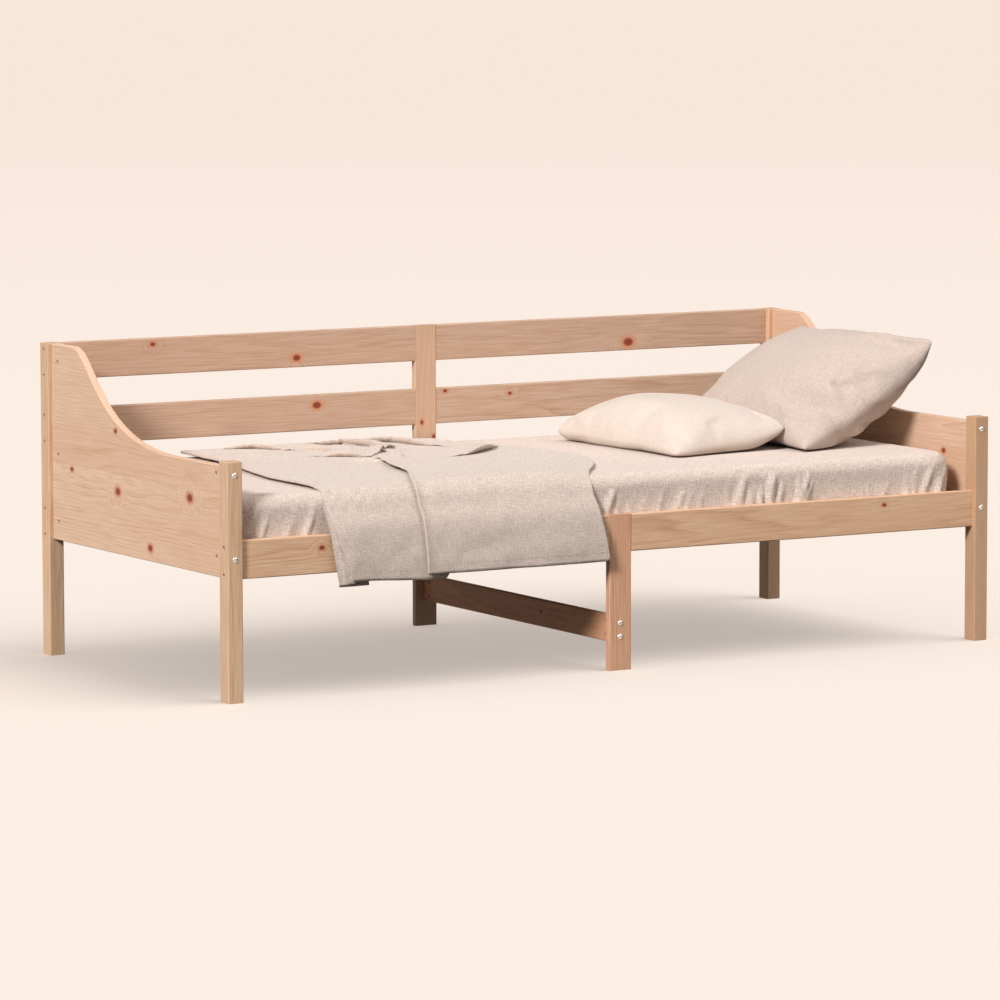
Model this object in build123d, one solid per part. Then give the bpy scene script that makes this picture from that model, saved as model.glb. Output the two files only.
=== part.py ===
"""Pine daybed with bolted posts, curved side panels, a slatted base and its bedding.

Millimetres. X runs along the bed, with -X the foot end and +X the pillow end.
-Y is the open front, +Y the back that stands against a wall, +Z is up. The
origin is on the floor, under the middle of the frame.
"""

from build123d import *
import math
import os

# Overall frame
LENGTH = 2070.0
DEPTH = 958.0
BACK_HEIGHT = 745.0
FRONT_HEIGHT = 544.0

# Timber sections
POST_WIDTH = 38.0
POST_DEPTH = 42.0
BOARD = 18.0
RAIL_HEIGHT = 88.0
RAIL_BOTTOM = 278.0
RAIL_GAP = 69.0
RAIL_SETBACK = 11.0
MID_WIDTH = 60.0
EDGE_ROUND = 3.0

# Side panels: level at the back, one S-shaped sweep, then level to the front post
PANEL_BOTTOM = 279.0
PANEL_FRONT_DROP = 12.0
SHOULDER_LEVEL = 105.0
SWEEP_RUN = 525.0
SHOULDER_PULL = 98.0
SWEEP_PULL = 404.0
PANEL_ROUND = 2.5

# Stretcher between the two middle legs
STRETCHER_BOTTOM = 63.0
STRETCHER_HEIGHT = 64.0

# Slatted base
SLAT_COUNT = 14
SLAT_WIDTH = 70.0
SLAT_THICKNESS = 15.0
SLAT_END_GAP = 3.0
SLAT_ROUND = 2.0
LEDGER_DEPTH = 20.0
LEDGER_HEIGHT = 22.0
LEDGER_RISE = 2.0
LEDGER_END_GAP = 2.0
FIRST_SLAT_GAP = 8.0
TAPE_WIDTH = 20.0
TAPE_THICKNESS = 1.0
TAPE_INSET = 150.0

# Panel bolts, stretcher bolts and their barrel nuts
BOLT_DIAMETER = 6.0
BOLT_CLEARANCE = 0.5
BOLT_END = 7.0
HEAD_DIAMETER = 13.0
HEAD_HEIGHT = 3.5
SOCKET_WIDTH = 4.0
SOCKET_DEPTH = 2.2
NUT_DIAMETER = 10.0
NUT_LENGTH = 12.0
NUT_CLEARANCE = 0.2
NUT_FROM_END = 32.0
BOLT_ABOVE_PANEL = 45.0
FRONT_BOLT_BELOW_TOP = 30.0
BACK_BOLT_BELOW_TOP = 42.0
BACK_BOLT_MIDDLE = 483.0
STRETCHER_BOLT_EDGE = 16.0

# Rail screws through the posts, sunk below the surface
SCREW_DIAMETER = 6.0
SCREW_HEAD = 9.0
SCREW_HEAD_HEIGHT = 3.0
SCREW_SINK = 3.0
SCREW_GRIP = 34.0
SCREW_LOW = 10.0
SCREW_HIGH = 16.0
SCREW_CLEARANCE = 0.4

# Dowels at the middle joints
DOWEL_DIAMETER = 8.0
DOWEL_LENGTH = 40.0
DOWEL_EDGE = 20.0
DOWEL_CLEARANCE = 0.2

# Small countersunk wood screws
WOOD_SCREW = 4.0
WOOD_SCREW_HEAD = 8.0
WOOD_SCREW_CONE = 2.2
WOOD_SCREW_BITE = 13.0
WOOD_SCREW_CLEARANCE = 0.2
LEDGER_SCREWS_PER_HALF = 4
LEDGER_SCREW_MARGIN = 80.0
BITE_SHARE_OF_BOARD = 0.8

# Flat steel plates behind the two upper middle joints
PLATE_LENGTH = 150.0
PLATE_HEIGHT = 30.0
PLATE_THICKNESS = 2.5
PLATE_HOLE_MARGIN = 12.0
PLATE_SCREW_BITE = 12.0

# Bedding
MATTRESS_THICKNESS = 138.0
MATTRESS_LEFT_GAP = 7.0
MATTRESS_RIGHT_GAP = 22.0
MATTRESS_SIDE_GAP = 6.0
MATTRESS_CORNER = 55.0
MATTRESS_ROUND = 20.0
SHEET_THICKNESS = 2.0
THROW_THICKNESS = 5.0
THROW_AIR = 1.0
THROW_LEFT_GAP = 245.0
THROW_MID_GAP = 20.0
THROW_BACK_INSET = 15.0
THROW_HEM_BELOW_RAIL = 30.0
THROW_BEND = 18.0
LARGE_PILLOW_WIDTH = 430.0
LARGE_PILLOW_LENGTH = 600.0
LARGE_PILLOW_HALF = 70.0
LARGE_PILLOW_TILT = 35.0
LARGE_PILLOW_GAP = 8.0
LARGE_PILLOW_Y = 10.0
SMALL_PILLOW_WIDTH = 345.0
SMALL_PILLOW_LENGTH = 590.0
SMALL_PILLOW_HALF = 58.0
SMALL_PILLOW_TILT = 7.0
SMALL_PILLOW_GAP = 12.0
SMALL_PILLOW_Y = 55.0
PILLOW_INSET = 90.0
PILLOW_CORNER = 40.0
PILLOW_AIR = 2.0

# Places that follow from the sizes above
HALF_LENGTH = LENGTH / 2
HALF_DEPTH = DEPTH / 2
POST_INNER_X = HALF_LENGTH - POST_WIDTH
POST_INNER_Y = HALF_DEPTH - POST_DEPTH
POST_CENTRE_X = HALF_LENGTH - POST_WIDTH / 2
RAIL_OUTER_Y = HALF_DEPTH - RAIL_SETBACK
RAIL_INNER_Y = RAIL_OUTER_Y - BOARD
RAIL_CENTRE_Y = RAIL_OUTER_Y - BOARD / 2
RAIL_TOP = RAIL_BOTTOM + RAIL_HEIGHT
TOP_RAIL_BOTTOM = BACK_HEIGHT - RAIL_HEIGHT
MIDDLE_RAIL_BOTTOM = TOP_RAIL_BOTTOM - RAIL_GAP - RAIL_HEIGHT
BACK_RAILS = {
    "low": RAIL_BOTTOM,
    "middle": MIDDLE_RAIL_BOTTOM,
    "top": TOP_RAIL_BOTTOM,
}
MID_HALF = MID_WIDTH / 2
PANEL_INNER_X = POST_CENTRE_X - BOARD / 2
PANEL_OUTER_X = POST_CENTRE_X + BOARD / 2
PANEL_LOW_EDGE = FRONT_HEIGHT - PANEL_FRONT_DROP
LEDGER_BOTTOM = RAIL_BOTTOM + LEDGER_RISE
LEDGER_TOP = LEDGER_BOTTOM + LEDGER_HEIGHT
LEDGER_INNER_Y = RAIL_INNER_Y - LEDGER_DEPTH
LEDGER_HALF = POST_INNER_X - LEDGER_END_GAP
SLAT_TOP = LEDGER_TOP + SLAT_THICKNESS
SLAT_FIRST_X = POST_INNER_X - SLAT_WIDTH / 2 - FIRST_SLAT_GAP
SLAT_PITCH = 2 * SLAT_FIRST_X / (SLAT_COUNT - 1)
MATTRESS_TOP = SLAT_TOP + MATTRESS_THICKNESS
SHEET_TOP = MATTRESS_TOP + SHEET_THICKNESS
FRONT_BOLT_HEIGHTS = (PANEL_BOTTOM + BOLT_ABOVE_PANEL, FRONT_HEIGHT - FRONT_BOLT_BELOW_TOP)
BACK_BOLT_HEIGHTS = (
    PANEL_BOTTOM + BOLT_ABOVE_PANEL,
    BACK_BOLT_MIDDLE,
    BACK_HEIGHT - BACK_BOLT_BELOW_TOP,
)
STRETCHER_BOLT_HEIGHTS = (
    STRETCHER_BOTTOM + STRETCHER_BOLT_EDGE,
    STRETCHER_BOTTOM + STRETCHER_HEIGHT - STRETCHER_BOLT_EDGE,
)
BOLT_SHANK = POST_DEPTH + NUT_FROM_END + BOLT_END
STRETCHER_SHANK = BOARD + NUT_FROM_END + BOLT_END
SCREW_LENGTH = POST_WIDTH - SCREW_SINK + SCREW_GRIP


# --- plain shapes -----------------------------------------------------------

def block(x, y, z):
    """A box between three (low, high) pairs."""
    size = Box(x[1] - x[0], y[1] - y[0], z[1] - z[0])
    return Pos((x[0] + x[1]) / 2, (y[0] + y[1]) / 2, (z[0] + z[1]) / 2) * size


def rod(start, direction, diameter, length):
    """A round bar or drilling from a point along a direction."""
    plane = Plane(origin=start, z_dir=direction)
    return plane * Cylinder(diameter / 2, length, align=(Align.CENTER, Align.CENTER, Align.MIN))


def cone(start, direction, wide, narrow, length):
    """A countersink that narrows along a direction."""
    plane = Plane(origin=start, z_dir=direction)
    align = (Align.CENTER, Align.CENTER, Align.MIN)
    return plane * Cone(wide / 2, narrow / 2, length, align=align)


def round_along(solid, axis, radius):
    """Round the long edges that run along one axis."""
    return fillet(solid.edges().filter_by(axis), radius)


def drilled(solid, tools):
    """Cut every drilling out of a piece."""
    for tool in tools:
        solid = solid - tool
    return solid


# --- fasteners --------------------------------------------------------------

def button_bolt(start, direction, shank):
    """A domed socket bolt whose head seats at the start point."""
    dome_radius = (HEAD_DIAMETER**2 / 4 + HEAD_HEIGHT**2) / (2 * HEAD_HEIGHT)
    dome = Pos(0, 0, -HEAD_HEIGHT + dome_radius) * Sphere(dome_radius)
    keep = Pos(0, 0, -HEAD_HEIGHT / 2) * Cylinder(HEAD_DIAMETER, HEAD_HEIGHT)
    head = dome & keep
    socket = Pos(0, 0, -HEAD_HEIGHT) * extrude(
        RegularPolygon(SOCKET_WIDTH / 2, 6, major_radius=False), SOCKET_DEPTH
    )
    align = (Align.CENTER, Align.CENTER, Align.MIN)
    body = Cylinder(BOLT_DIAMETER / 2, shank, align=align)
    return Plane(origin=start, z_dir=direction) * (head + body - socket)


def barrel_nut(centre, axis, bolt_direction):
    """A barrel nut lying along one axis, with its cross hole along the bolt."""
    start = Vector(*centre) - Vector(*axis) * (NUT_LENGTH / 2)
    barrel = rod(start, axis, NUT_DIAMETER, NUT_LENGTH)
    bore_start = Vector(*centre) - Vector(*bolt_direction) * NUT_DIAMETER
    bore = rod(bore_start, bolt_direction, BOLT_DIAMETER + NUT_CLEARANCE, 2 * NUT_DIAMETER)
    return barrel - bore


def rail_screw(start, direction):
    """A cylinder-head furniture screw with a hex socket."""
    head = rod(start, direction, SCREW_HEAD, SCREW_HEAD_HEIGHT)
    body = rod(start, direction, SCREW_DIAMETER, SCREW_LENGTH)
    socket_plane = Plane(origin=start, z_dir=direction)
    hexagon = RegularPolygon(SOCKET_WIDTH / 2, 6, major_radius=False)
    socket = socket_plane * extrude(hexagon, SOCKET_DEPTH)
    return head + body - socket


def wood_screw(start, direction, length):
    """A countersunk screw whose head is flush at the start point."""
    head = cone(start, direction, WOOD_SCREW_HEAD, WOOD_SCREW, WOOD_SCREW_CONE)
    body = rod(start, direction, WOOD_SCREW, length)
    return head + body


def wood_screw_hole(start, direction, length):
    """The countersunk drilling that takes a wood screw."""
    gap = WOOD_SCREW_CLEARANCE
    head = cone(start, direction, WOOD_SCREW_HEAD + gap, WOOD_SCREW + gap, WOOD_SCREW_CONE)
    body = rod(start, direction, WOOD_SCREW + gap, length + gap)
    return head + body


# --- where the fasteners sit ------------------------------------------------

def panel_bolt_places():
    """(x, side, z) of each bolt through a post; side is -1 front, +1 back."""
    for end in (-1, 1):
        for height in FRONT_BOLT_HEIGHTS:
            yield end * POST_CENTRE_X, -1, height
        for height in BACK_BOLT_HEIGHTS:
            yield end * POST_CENTRE_X, 1, height


def rail_screw_heights(rail_bottom):
    """The two screw heights at the end of one rail."""
    return rail_bottom + SCREW_LOW, rail_bottom + RAIL_HEIGHT - SCREW_HIGH


def rails_at(side):
    """The bottoms of the rails on the front (-1) or back (+1) side."""
    return [RAIL_BOTTOM] if side < 0 else list(BACK_RAILS.values())


def rail_screw_places():
    """(end, side, z) of every screw through a post into a rail end."""
    for end in (-1, 1):
        for side in (-1, 1):
            for rail_bottom in rails_at(side):
                for height in rail_screw_heights(rail_bottom):
                    yield end, side, height


def dowel_places():
    """(end, side, z) of every dowel between a rail and a middle upright."""
    for end in (-1, 1):
        for side in (-1, 1):
            for rail_bottom in rails_at(side):
                yield end, side, rail_bottom + DOWEL_EDGE
                yield end, side, rail_bottom + RAIL_HEIGHT - DOWEL_EDGE


def ledger_screw_xs():
    """One screw into the middle upright and an even row along each half."""
    yield 0.0
    far = LEDGER_HALF - LEDGER_SCREW_MARGIN
    near = MID_HALF + LEDGER_SCREW_MARGIN
    step = (far - near) / (LEDGER_SCREWS_PER_HALF - 1)
    for number in range(LEDGER_SCREWS_PER_HALF):
        yield near + number * step
        yield -near - number * step


def plate_heights():
    """Middle heights of the two upper back joints."""
    return [BACK_RAILS[name] + RAIL_HEIGHT / 2 for name in ("middle", "top")]


def plate_screw_xs():
    """Two screws in each rail and one each side of the upright's middle."""
    end = PLATE_LENGTH / 2 - PLATE_HOLE_MARGIN
    near = MID_HALF + PLATE_HOLE_MARGIN
    inner = MID_HALF - PLATE_HOLE_MARGIN
    return (-end, -near, -inner, inner, near, end)


def slat_xs():
    """Centres of the slats, foot end first."""
    return [-SLAT_FIRST_X + number * SLAT_PITCH for number in range(SLAT_COUNT)]


# --- drillings shared by the pieces -----------------------------------------

def panel_bolt_holes():
    """Clearance drillings for the panel bolts, from the post's outer face."""
    bore = BOLT_DIAMETER + BOLT_CLEARANCE
    for x, side, z in panel_bolt_places():
        yield rod((x, side * HALF_DEPTH, z), (0, -side, 0), bore, BOLT_SHANK + BOLT_CLEARANCE)


def panel_nut_holes():
    """Blind drillings in the panels' outer faces for the barrel nuts."""
    depth = PANEL_OUTER_X - POST_CENTRE_X + NUT_LENGTH / 2
    for x, side, z in panel_bolt_places():
        end = math.copysign(1, x)
        start = (end * PANEL_OUTER_X, side * (POST_INNER_Y - NUT_FROM_END), z)
        yield rod(start, (-end, 0, 0), NUT_DIAMETER + NUT_CLEARANCE, depth)


def rail_screw_holes():
    """Stepped drillings for the rail screws: head well, then shank."""
    well = SCREW_HEAD + 2 * SCREW_CLEARANCE
    bore = SCREW_DIAMETER + SCREW_CLEARANCE
    for end, side, z in rail_screw_places():
        start = (end * HALF_LENGTH, side * RAIL_CENTRE_Y, z)
        inward = (-end, 0, 0)
        yield rod(start, inward, well, SCREW_SINK + SCREW_HEAD_HEIGHT)
        yield rod(start, inward, bore, SCREW_SINK + SCREW_LENGTH + SCREW_CLEARANCE)


def dowel_holes():
    """Drillings across the middle joints, a little longer than the dowels."""
    for end, side, z in dowel_places():
        far = MID_HALF + DOWEL_LENGTH / 2 + DOWEL_CLEARANCE
        start = (end * far, side * RAIL_CENTRE_Y, z)
        length = DOWEL_LENGTH + 2 * DOWEL_CLEARANCE
        yield rod(start, (-end, 0, 0), DOWEL_DIAMETER + DOWEL_CLEARANCE, length)


def stretcher_bolt_holes():
    """Drillings through the middle legs into the stretcher's ends."""
    bore = BOLT_DIAMETER + BOLT_CLEARANCE
    for side in (-1, 1):
        for z in STRETCHER_BOLT_HEIGHTS:
            start = (0, side * RAIL_OUTER_Y, z)
            yield rod(start, (0, -side, 0), bore, STRETCHER_SHANK + BOLT_CLEARANCE)


def stretcher_nut_places():
    """Centres of the stretcher's barrel nuts."""
    for side in (-1, 1):
        for z in STRETCHER_BOLT_HEIGHTS:
            yield 0.0, side * (RAIL_INNER_Y - NUT_FROM_END), z


def ledger_screw_length():
    """Through the ledger and into the rail, short of its far face."""
    return LEDGER_DEPTH + min(WOOD_SCREW_BITE, BOARD * BITE_SHARE_OF_BOARD)


def ledger_screw_places():
    """(start, direction) of each screw from a ledger's inner face."""
    for side in (-1, 1):
        for x in ledger_screw_xs():
            height = LEDGER_BOTTOM + LEDGER_HEIGHT / 2
            yield (x, side * LEDGER_INNER_Y, height), (0, side, 0)


def slat_screw_places():
    """(start, direction) of the screws that hold the first and last slats."""
    for x in (slat_xs()[0], slat_xs()[-1]):
        for side in (-1, 1):
            middle = side * (RAIL_INNER_Y - LEDGER_DEPTH / 2)
            yield (x, middle, SLAT_TOP), (0, 0, -1)


def plate_screw_places():
    """(start, direction) of the screws through the steel plates."""
    for z in plate_heights():
        for x in plate_screw_xs():
            yield (x, RAIL_OUTER_Y + PLATE_THICKNESS, z), (0, -1, 0)


def holes_for(places, length):
    """Countersunk drillings at (start, direction) places."""
    return [wood_screw_hole(start, direction, length) for start, direction in places]


# --- timber -----------------------------------------------------------------

def corner_post(end, side, height):
    """One corner post with its bolt and screw drillings."""
    x = sorted((end * POST_INNER_X, end * HALF_LENGTH))
    y = sorted((side * POST_INNER_Y, side * HALF_DEPTH))
    post = round_along(block(x, y, (0, height)), Axis.Z, EDGE_ROUND)
    post = fillet(post.faces().sort_by(Axis.Z)[-1].edges(), EDGE_ROUND / 2)
    return drilled(post, list(panel_bolt_holes()) + list(rail_screw_holes()))


def panel_outline():
    """The panel's outline in the YZ plane, drawn as (y, z)."""
    back = POST_INNER_Y
    shoulder = back - SHOULDER_LEVEL
    low = shoulder - SWEEP_RUN
    top = BACK_HEIGHT
    edge = PANEL_LOW_EDGE
    sweep = Bezier(
        (shoulder, top),
        (shoulder - SHOULDER_PULL, top),
        (low + SWEEP_PULL, edge),
        (low, edge),
    )
    frame = Polyline(
        (low, edge),
        (-POST_INNER_Y, edge),
        (-POST_INNER_Y, PANEL_BOTTOM),
        (back, PANEL_BOTTOM),
        (back, top),
        (shoulder, top),
    )
    return make_face([sweep, frame])


def side_panel(end):
    """One solid-timber side panel, centred in its posts."""
    start = min(end * PANEL_INNER_X, end * PANEL_OUTER_X)
    panel = Plane.YZ * extrude(panel_outline(), BOARD)
    panel = Pos(start, 0, 0) * panel
    faces = panel.faces().filter_by(Axis.X)
    panel = fillet(faces.edges(), PANEL_ROUND)
    return drilled(panel, list(panel_bolt_holes()) + list(panel_nut_holes()))


def rail(end, side, bottom):
    """Half a rail, from its corner post to the middle upright."""
    x = sorted((end * MID_HALF, end * POST_INNER_X))
    y = sorted((side * RAIL_INNER_Y, side * RAIL_OUTER_Y))
    board = round_along(block(x, y, (bottom, bottom + RAIL_HEIGHT)), Axis.X, EDGE_ROUND)
    tools = list(rail_screw_holes()) + list(dowel_holes())
    if bottom == RAIL_BOTTOM:
        tools += holes_for(ledger_screw_places(), ledger_screw_length())
    if side > 0 and bottom != RAIL_BOTTOM:
        tools += holes_for(plate_screw_places(), PLATE_THICKNESS + PLATE_SCREW_BITE)
    return drilled(board, tools)


def middle_upright(side, height):
    """The flat middle leg in front, or the taller one behind."""
    x = (-MID_HALF, MID_HALF)
    y = sorted((side * RAIL_INNER_Y, side * RAIL_OUTER_Y))
    board = round_along(block(x, y, (0, height)), Axis.Z, EDGE_ROUND)
    tools = list(stretcher_bolt_holes()) + list(dowel_holes())
    tools += holes_for(ledger_screw_places(), ledger_screw_length())
    if side > 0:
        tools += holes_for(plate_screw_places(), PLATE_THICKNESS + PLATE_SCREW_BITE)
    return drilled(board, tools)


def stretcher():
    """The low board that ties the two middle legs together."""
    z = (STRETCHER_BOTTOM, STRETCHER_BOTTOM + STRETCHER_HEIGHT)
    y = (-RAIL_INNER_Y, RAIL_INNER_Y)
    board = round_along(block((-BOARD / 2, BOARD / 2), y, z), Axis.Y, EDGE_ROUND)
    depth = BOARD / 2 + NUT_LENGTH / 2
    wells = [
        rod((-BOARD / 2, y_nut, z_nut), (1, 0, 0), NUT_DIAMETER + NUT_CLEARANCE, depth)
        for _, y_nut, z_nut in stretcher_nut_places()
    ]
    return drilled(board, list(stretcher_bolt_holes()) + wells)


def ledger(side):
    """A strip screwed inside the rails that carries the slats."""
    y = sorted((side * LEDGER_INNER_Y, side * RAIL_INNER_Y))
    z = (LEDGER_BOTTOM, LEDGER_TOP)
    strip = block((-LEDGER_HALF, LEDGER_HALF), y, z)
    strip = round_along(strip, Axis.X, EDGE_ROUND / 2)
    tools = holes_for(ledger_screw_places(), ledger_screw_length())
    tools += holes_for(slat_screw_places(), SLAT_THICKNESS + WOOD_SCREW_BITE)
    return drilled(strip, tools)


def slat(centre):
    """One slat across the bed."""
    half = RAIL_INNER_Y - SLAT_END_GAP
    x = (centre - SLAT_WIDTH / 2, centre + SLAT_WIDTH / 2)
    board = round_along(block(x, (-half, half), (LEDGER_TOP, SLAT_TOP)), Axis.Y, SLAT_ROUND)
    return drilled(board, holes_for(slat_screw_places(), SLAT_THICKNESS + WOOD_SCREW_BITE))


def slat_tape(side):
    """A webbing tape under the slats that keeps them evenly spaced."""
    half = SLAT_FIRST_X + SLAT_WIDTH / 2
    y_middle = side * (RAIL_INNER_Y - TAPE_INSET)
    y = (y_middle - TAPE_WIDTH / 2, y_middle + TAPE_WIDTH / 2)
    return block((-half, half), y, (LEDGER_TOP - TAPE_THICKNESS, LEDGER_TOP))


# --- hardware groups --------------------------------------------------------

def group(solids):
    """Several equal fasteners kept as separate solids in one node."""
    return Compound(children=[item.solid() for item in solids])


def panel_bolts(wanted_side):
    """The bolts through the front (-1) or back (+1) posts."""
    return group(
        button_bolt((x, side * HALF_DEPTH, z), (0, -side, 0), BOLT_SHANK)
        for x, side, z in panel_bolt_places()
        if side == wanted_side
    )


def panel_nuts():
    """The barrel nuts in the side panels."""
    return group(
        barrel_nut((x, side * (POST_INNER_Y - NUT_FROM_END), z), (1, 0, 0), (0, 1, 0))
        for x, side, z in panel_bolt_places()
    )


def stretcher_bolts():
    """The bolts through both middle legs."""
    return group(
        button_bolt((0, side * RAIL_OUTER_Y, z), (0, -side, 0), STRETCHER_SHANK)
        for side in (-1, 1)
        for z in STRETCHER_BOLT_HEIGHTS
    )


def stretcher_nuts():
    """The barrel nuts in the stretcher."""
    return group(
        barrel_nut(centre, (1, 0, 0), (0, 1, 0)) for centre in stretcher_nut_places()
    )


def rail_screws():
    """The sunk screws from the posts into the rail ends."""
    depth = HALF_LENGTH - SCREW_SINK
    return group(
        rail_screw((end * depth, side * RAIL_CENTRE_Y, z), (-end, 0, 0))
        for end, side, z in rail_screw_places()
    )


def dowels():
    """The dowels across the middle joints."""
    far = MID_HALF + DOWEL_LENGTH / 2
    return group(
        rod((end * far, side * RAIL_CENTRE_Y, z), (-end, 0, 0), DOWEL_DIAMETER, DOWEL_LENGTH)
        for end, side, z in dowel_places()
    )


def screws_at(places, length):
    """Wood screws at (start, direction) places."""
    return group(wood_screw(start, direction, length) for start, direction in places)


def joint_plates():
    """Flat steel plates across the two upper joints of the back."""
    half = PLATE_LENGTH / 2
    y = (RAIL_OUTER_Y, RAIL_OUTER_Y + PLATE_THICKNESS)
    holes = holes_for(plate_screw_places(), PLATE_THICKNESS + PLATE_SCREW_BITE)
    plates = []
    for height in plate_heights():
        z = (height - PLATE_HEIGHT / 2, height + PLATE_HEIGHT / 2)
        plate = round_along(block((-half, half), y, z), Axis.Y, EDGE_ROUND)
        plates.append(drilled(plate, holes))
    return group(plates)


# --- bedding ----------------------------------------------------------------

def mattress_body(grow, bottom_round):
    """The mattress, grown on its sides and top by a cover's thickness."""
    x = (-PANEL_INNER_X + MATTRESS_LEFT_GAP - grow, PANEL_INNER_X - MATTRESS_RIGHT_GAP + grow)
    y_half = RAIL_INNER_Y - MATTRESS_SIDE_GAP + grow
    body = block(x, (-y_half, y_half), (SLAT_TOP, MATTRESS_TOP + grow))
    body = round_along(body, Axis.Z, MATTRESS_CORNER + grow)
    faces = body.faces().sort_by(Axis.Z)
    body = fillet(faces[-1].edges(), MATTRESS_ROUND + grow)
    if bottom_round:
        body = fillet(body.faces().sort_by(Axis.Z)[0].edges(), MATTRESS_ROUND)
    return body


def fitted_sheet():
    """The sheet over the mattress's top and sides, open underneath."""
    return mattress_body(SHEET_THICKNESS, False) - mattress_body(0, False)


def throw_blanket():
    """A throw over the mattress that hangs down in front of the rail."""
    gap = THROW_AIR + THROW_THICKNESS / 2
    lie = SHEET_TOP + gap
    hang = -RAIL_OUTER_Y - gap
    path = FilletPolyline(
        (RAIL_INNER_Y - THROW_BACK_INSET, lie),
        (hang + THROW_BEND, lie),
        (hang, RAIL_TOP + THROW_BEND),
        (hang, RAIL_BOTTOM - THROW_HEM_BELOW_RAIL),
        radius=THROW_BEND,
    )
    strip = make_face(offset(path, THROW_THICKNESS / 2, side=Side.BOTH, closed=True))
    left = -PANEL_INNER_X + THROW_LEFT_GAP
    right = -MID_HALF - THROW_MID_GAP
    return Pos(left, 0, 0) * (Plane.YZ * extrude(strip, right - left))


def pillow(width, length, half):
    """A cushion form: widest at its seam, drawn in above and below."""
    seam = RectangleRounded(width, length, PILLOW_CORNER)
    crown = RectangleRounded(width - 2 * PILLOW_INSET, length - 2 * PILLOW_INSET, PILLOW_CORNER)
    sections = [Pos(0, 0, -half) * crown, seam, Pos(0, 0, half) * crown]
    return loft(sections, ruled=True)


def lean(solid, seam_x, seam_z, y, width, tilt):
    """Tilt a pillow about its foot-end seam and set that seam at (x, z)."""
    moved = Pos(width / 2, 0, 0) * solid
    return Pos(seam_x, y, seam_z) * (Rot(0, -tilt, 0) * moved)


def large_pillow_place():
    """(x, z) of the large pillow's lower seam; its upper seam nears the panel."""
    tilt = math.radians(LARGE_PILLOW_TILT)
    x = PANEL_INNER_X - LARGE_PILLOW_GAP - LARGE_PILLOW_WIDTH * math.cos(tilt)
    below = LARGE_PILLOW_HALF * math.cos(tilt) - PILLOW_INSET * math.sin(tilt)
    clear_of_sheet = max(below, 0.0)
    return x, SHEET_TOP + PILLOW_AIR + clear_of_sheet + PILLOW_AIR


def pillow_large():
    """The large pillow, leaning up against the right side panel."""
    x, z = large_pillow_place()
    solid = pillow(LARGE_PILLOW_WIDTH, LARGE_PILLOW_LENGTH, LARGE_PILLOW_HALF)
    return lean(solid, x, z, LARGE_PILLOW_Y, LARGE_PILLOW_WIDTH, LARGE_PILLOW_TILT)


def pillow_small():
    """The small pillow, lying in front with its edge up by the large one."""
    tilt = math.radians(SMALL_PILLOW_TILT)
    reach = SMALL_PILLOW_WIDTH * math.cos(tilt) + SMALL_PILLOW_GAP
    below = SMALL_PILLOW_HALF * math.cos(tilt) - PILLOW_INSET * math.sin(tilt)
    x = large_pillow_place()[0] - reach
    z = SHEET_TOP + PILLOW_AIR + below
    solid = pillow(SMALL_PILLOW_WIDTH, SMALL_PILLOW_LENGTH, SMALL_PILLOW_HALF)
    return lean(solid, x, z, SMALL_PILLOW_Y, SMALL_PILLOW_WIDTH, SMALL_PILLOW_TILT)


# --- the whole daybed -------------------------------------------------------

def timber_nodes():
    """Posts, panels, rails, stretcher and slatted base."""
    nodes = {}
    for end, hand in ((-1, "left"), (1, "right")):
        nodes[f"post_front_{hand}"] = corner_post(end, -1, FRONT_HEIGHT)
        nodes[f"post_back_{hand}"] = corner_post(end, 1, BACK_HEIGHT)
        nodes[f"side_panel_{hand}"] = side_panel(end)
        nodes[f"front_rail_{hand}"] = rail(end, -1, RAIL_BOTTOM)
        for name, bottom in BACK_RAILS.items():
            nodes[f"back_rail_{name}_{hand}"] = rail(end, 1, bottom)
    nodes["middle_leg_front"] = middle_upright(-1, RAIL_TOP)
    nodes["middle_post_back"] = middle_upright(1, BACK_HEIGHT)
    nodes["stretcher"] = stretcher()
    nodes["slat_ledger_front"] = ledger(-1)
    nodes["slat_ledger_back"] = ledger(1)
    for number, centre in enumerate(slat_xs(), 1):
        nodes[f"slat_{number:02d}"] = slat(centre)
    nodes["slat_tape_front"] = slat_tape(-1)
    nodes["slat_tape_back"] = slat_tape(1)
    return nodes


def hardware_nodes():
    """Bolts, nuts, screws, dowels and plates."""
    return {
        "front_post_bolts": panel_bolts(-1),
        "back_post_bolts": panel_bolts(1),
        "panel_barrel_nuts": panel_nuts(),
        "stretcher_bolts": stretcher_bolts(),
        "stretcher_barrel_nuts": stretcher_nuts(),
        "rail_screws": rail_screws(),
        "rail_dowels": dowels(),
        "ledger_screws": screws_at(ledger_screw_places(), ledger_screw_length()),
        "slat_screws": screws_at(slat_screw_places(), SLAT_THICKNESS + WOOD_SCREW_BITE),
        "joint_plates": joint_plates(),
        "plate_screws": screws_at(plate_screw_places(), PLATE_THICKNESS + PLATE_SCREW_BITE),
    }


def bedding_nodes():
    """Mattress, sheet, throw and pillows."""
    return {
        "mattress": mattress_body(0, True),
        "fitted_sheet": fitted_sheet(),
        "throw_blanket": throw_blanket(),
        "pillow_large": pillow_large(),
        "pillow_small": pillow_small(),
    }


os.makedirs("parts", exist_ok=True)
for nodes in (timber_nodes(), hardware_nodes(), bedding_nodes()):
    for name, shape in nodes.items():
        export_step(shape, f"parts/{name}.step")
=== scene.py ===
"""Pine daybed: timber, metal and cloth finishes, bedding, light, floor and camera."""

import math
import random

import bpy
import numpy as np
from mathutils import Matrix, Vector, noise


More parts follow.
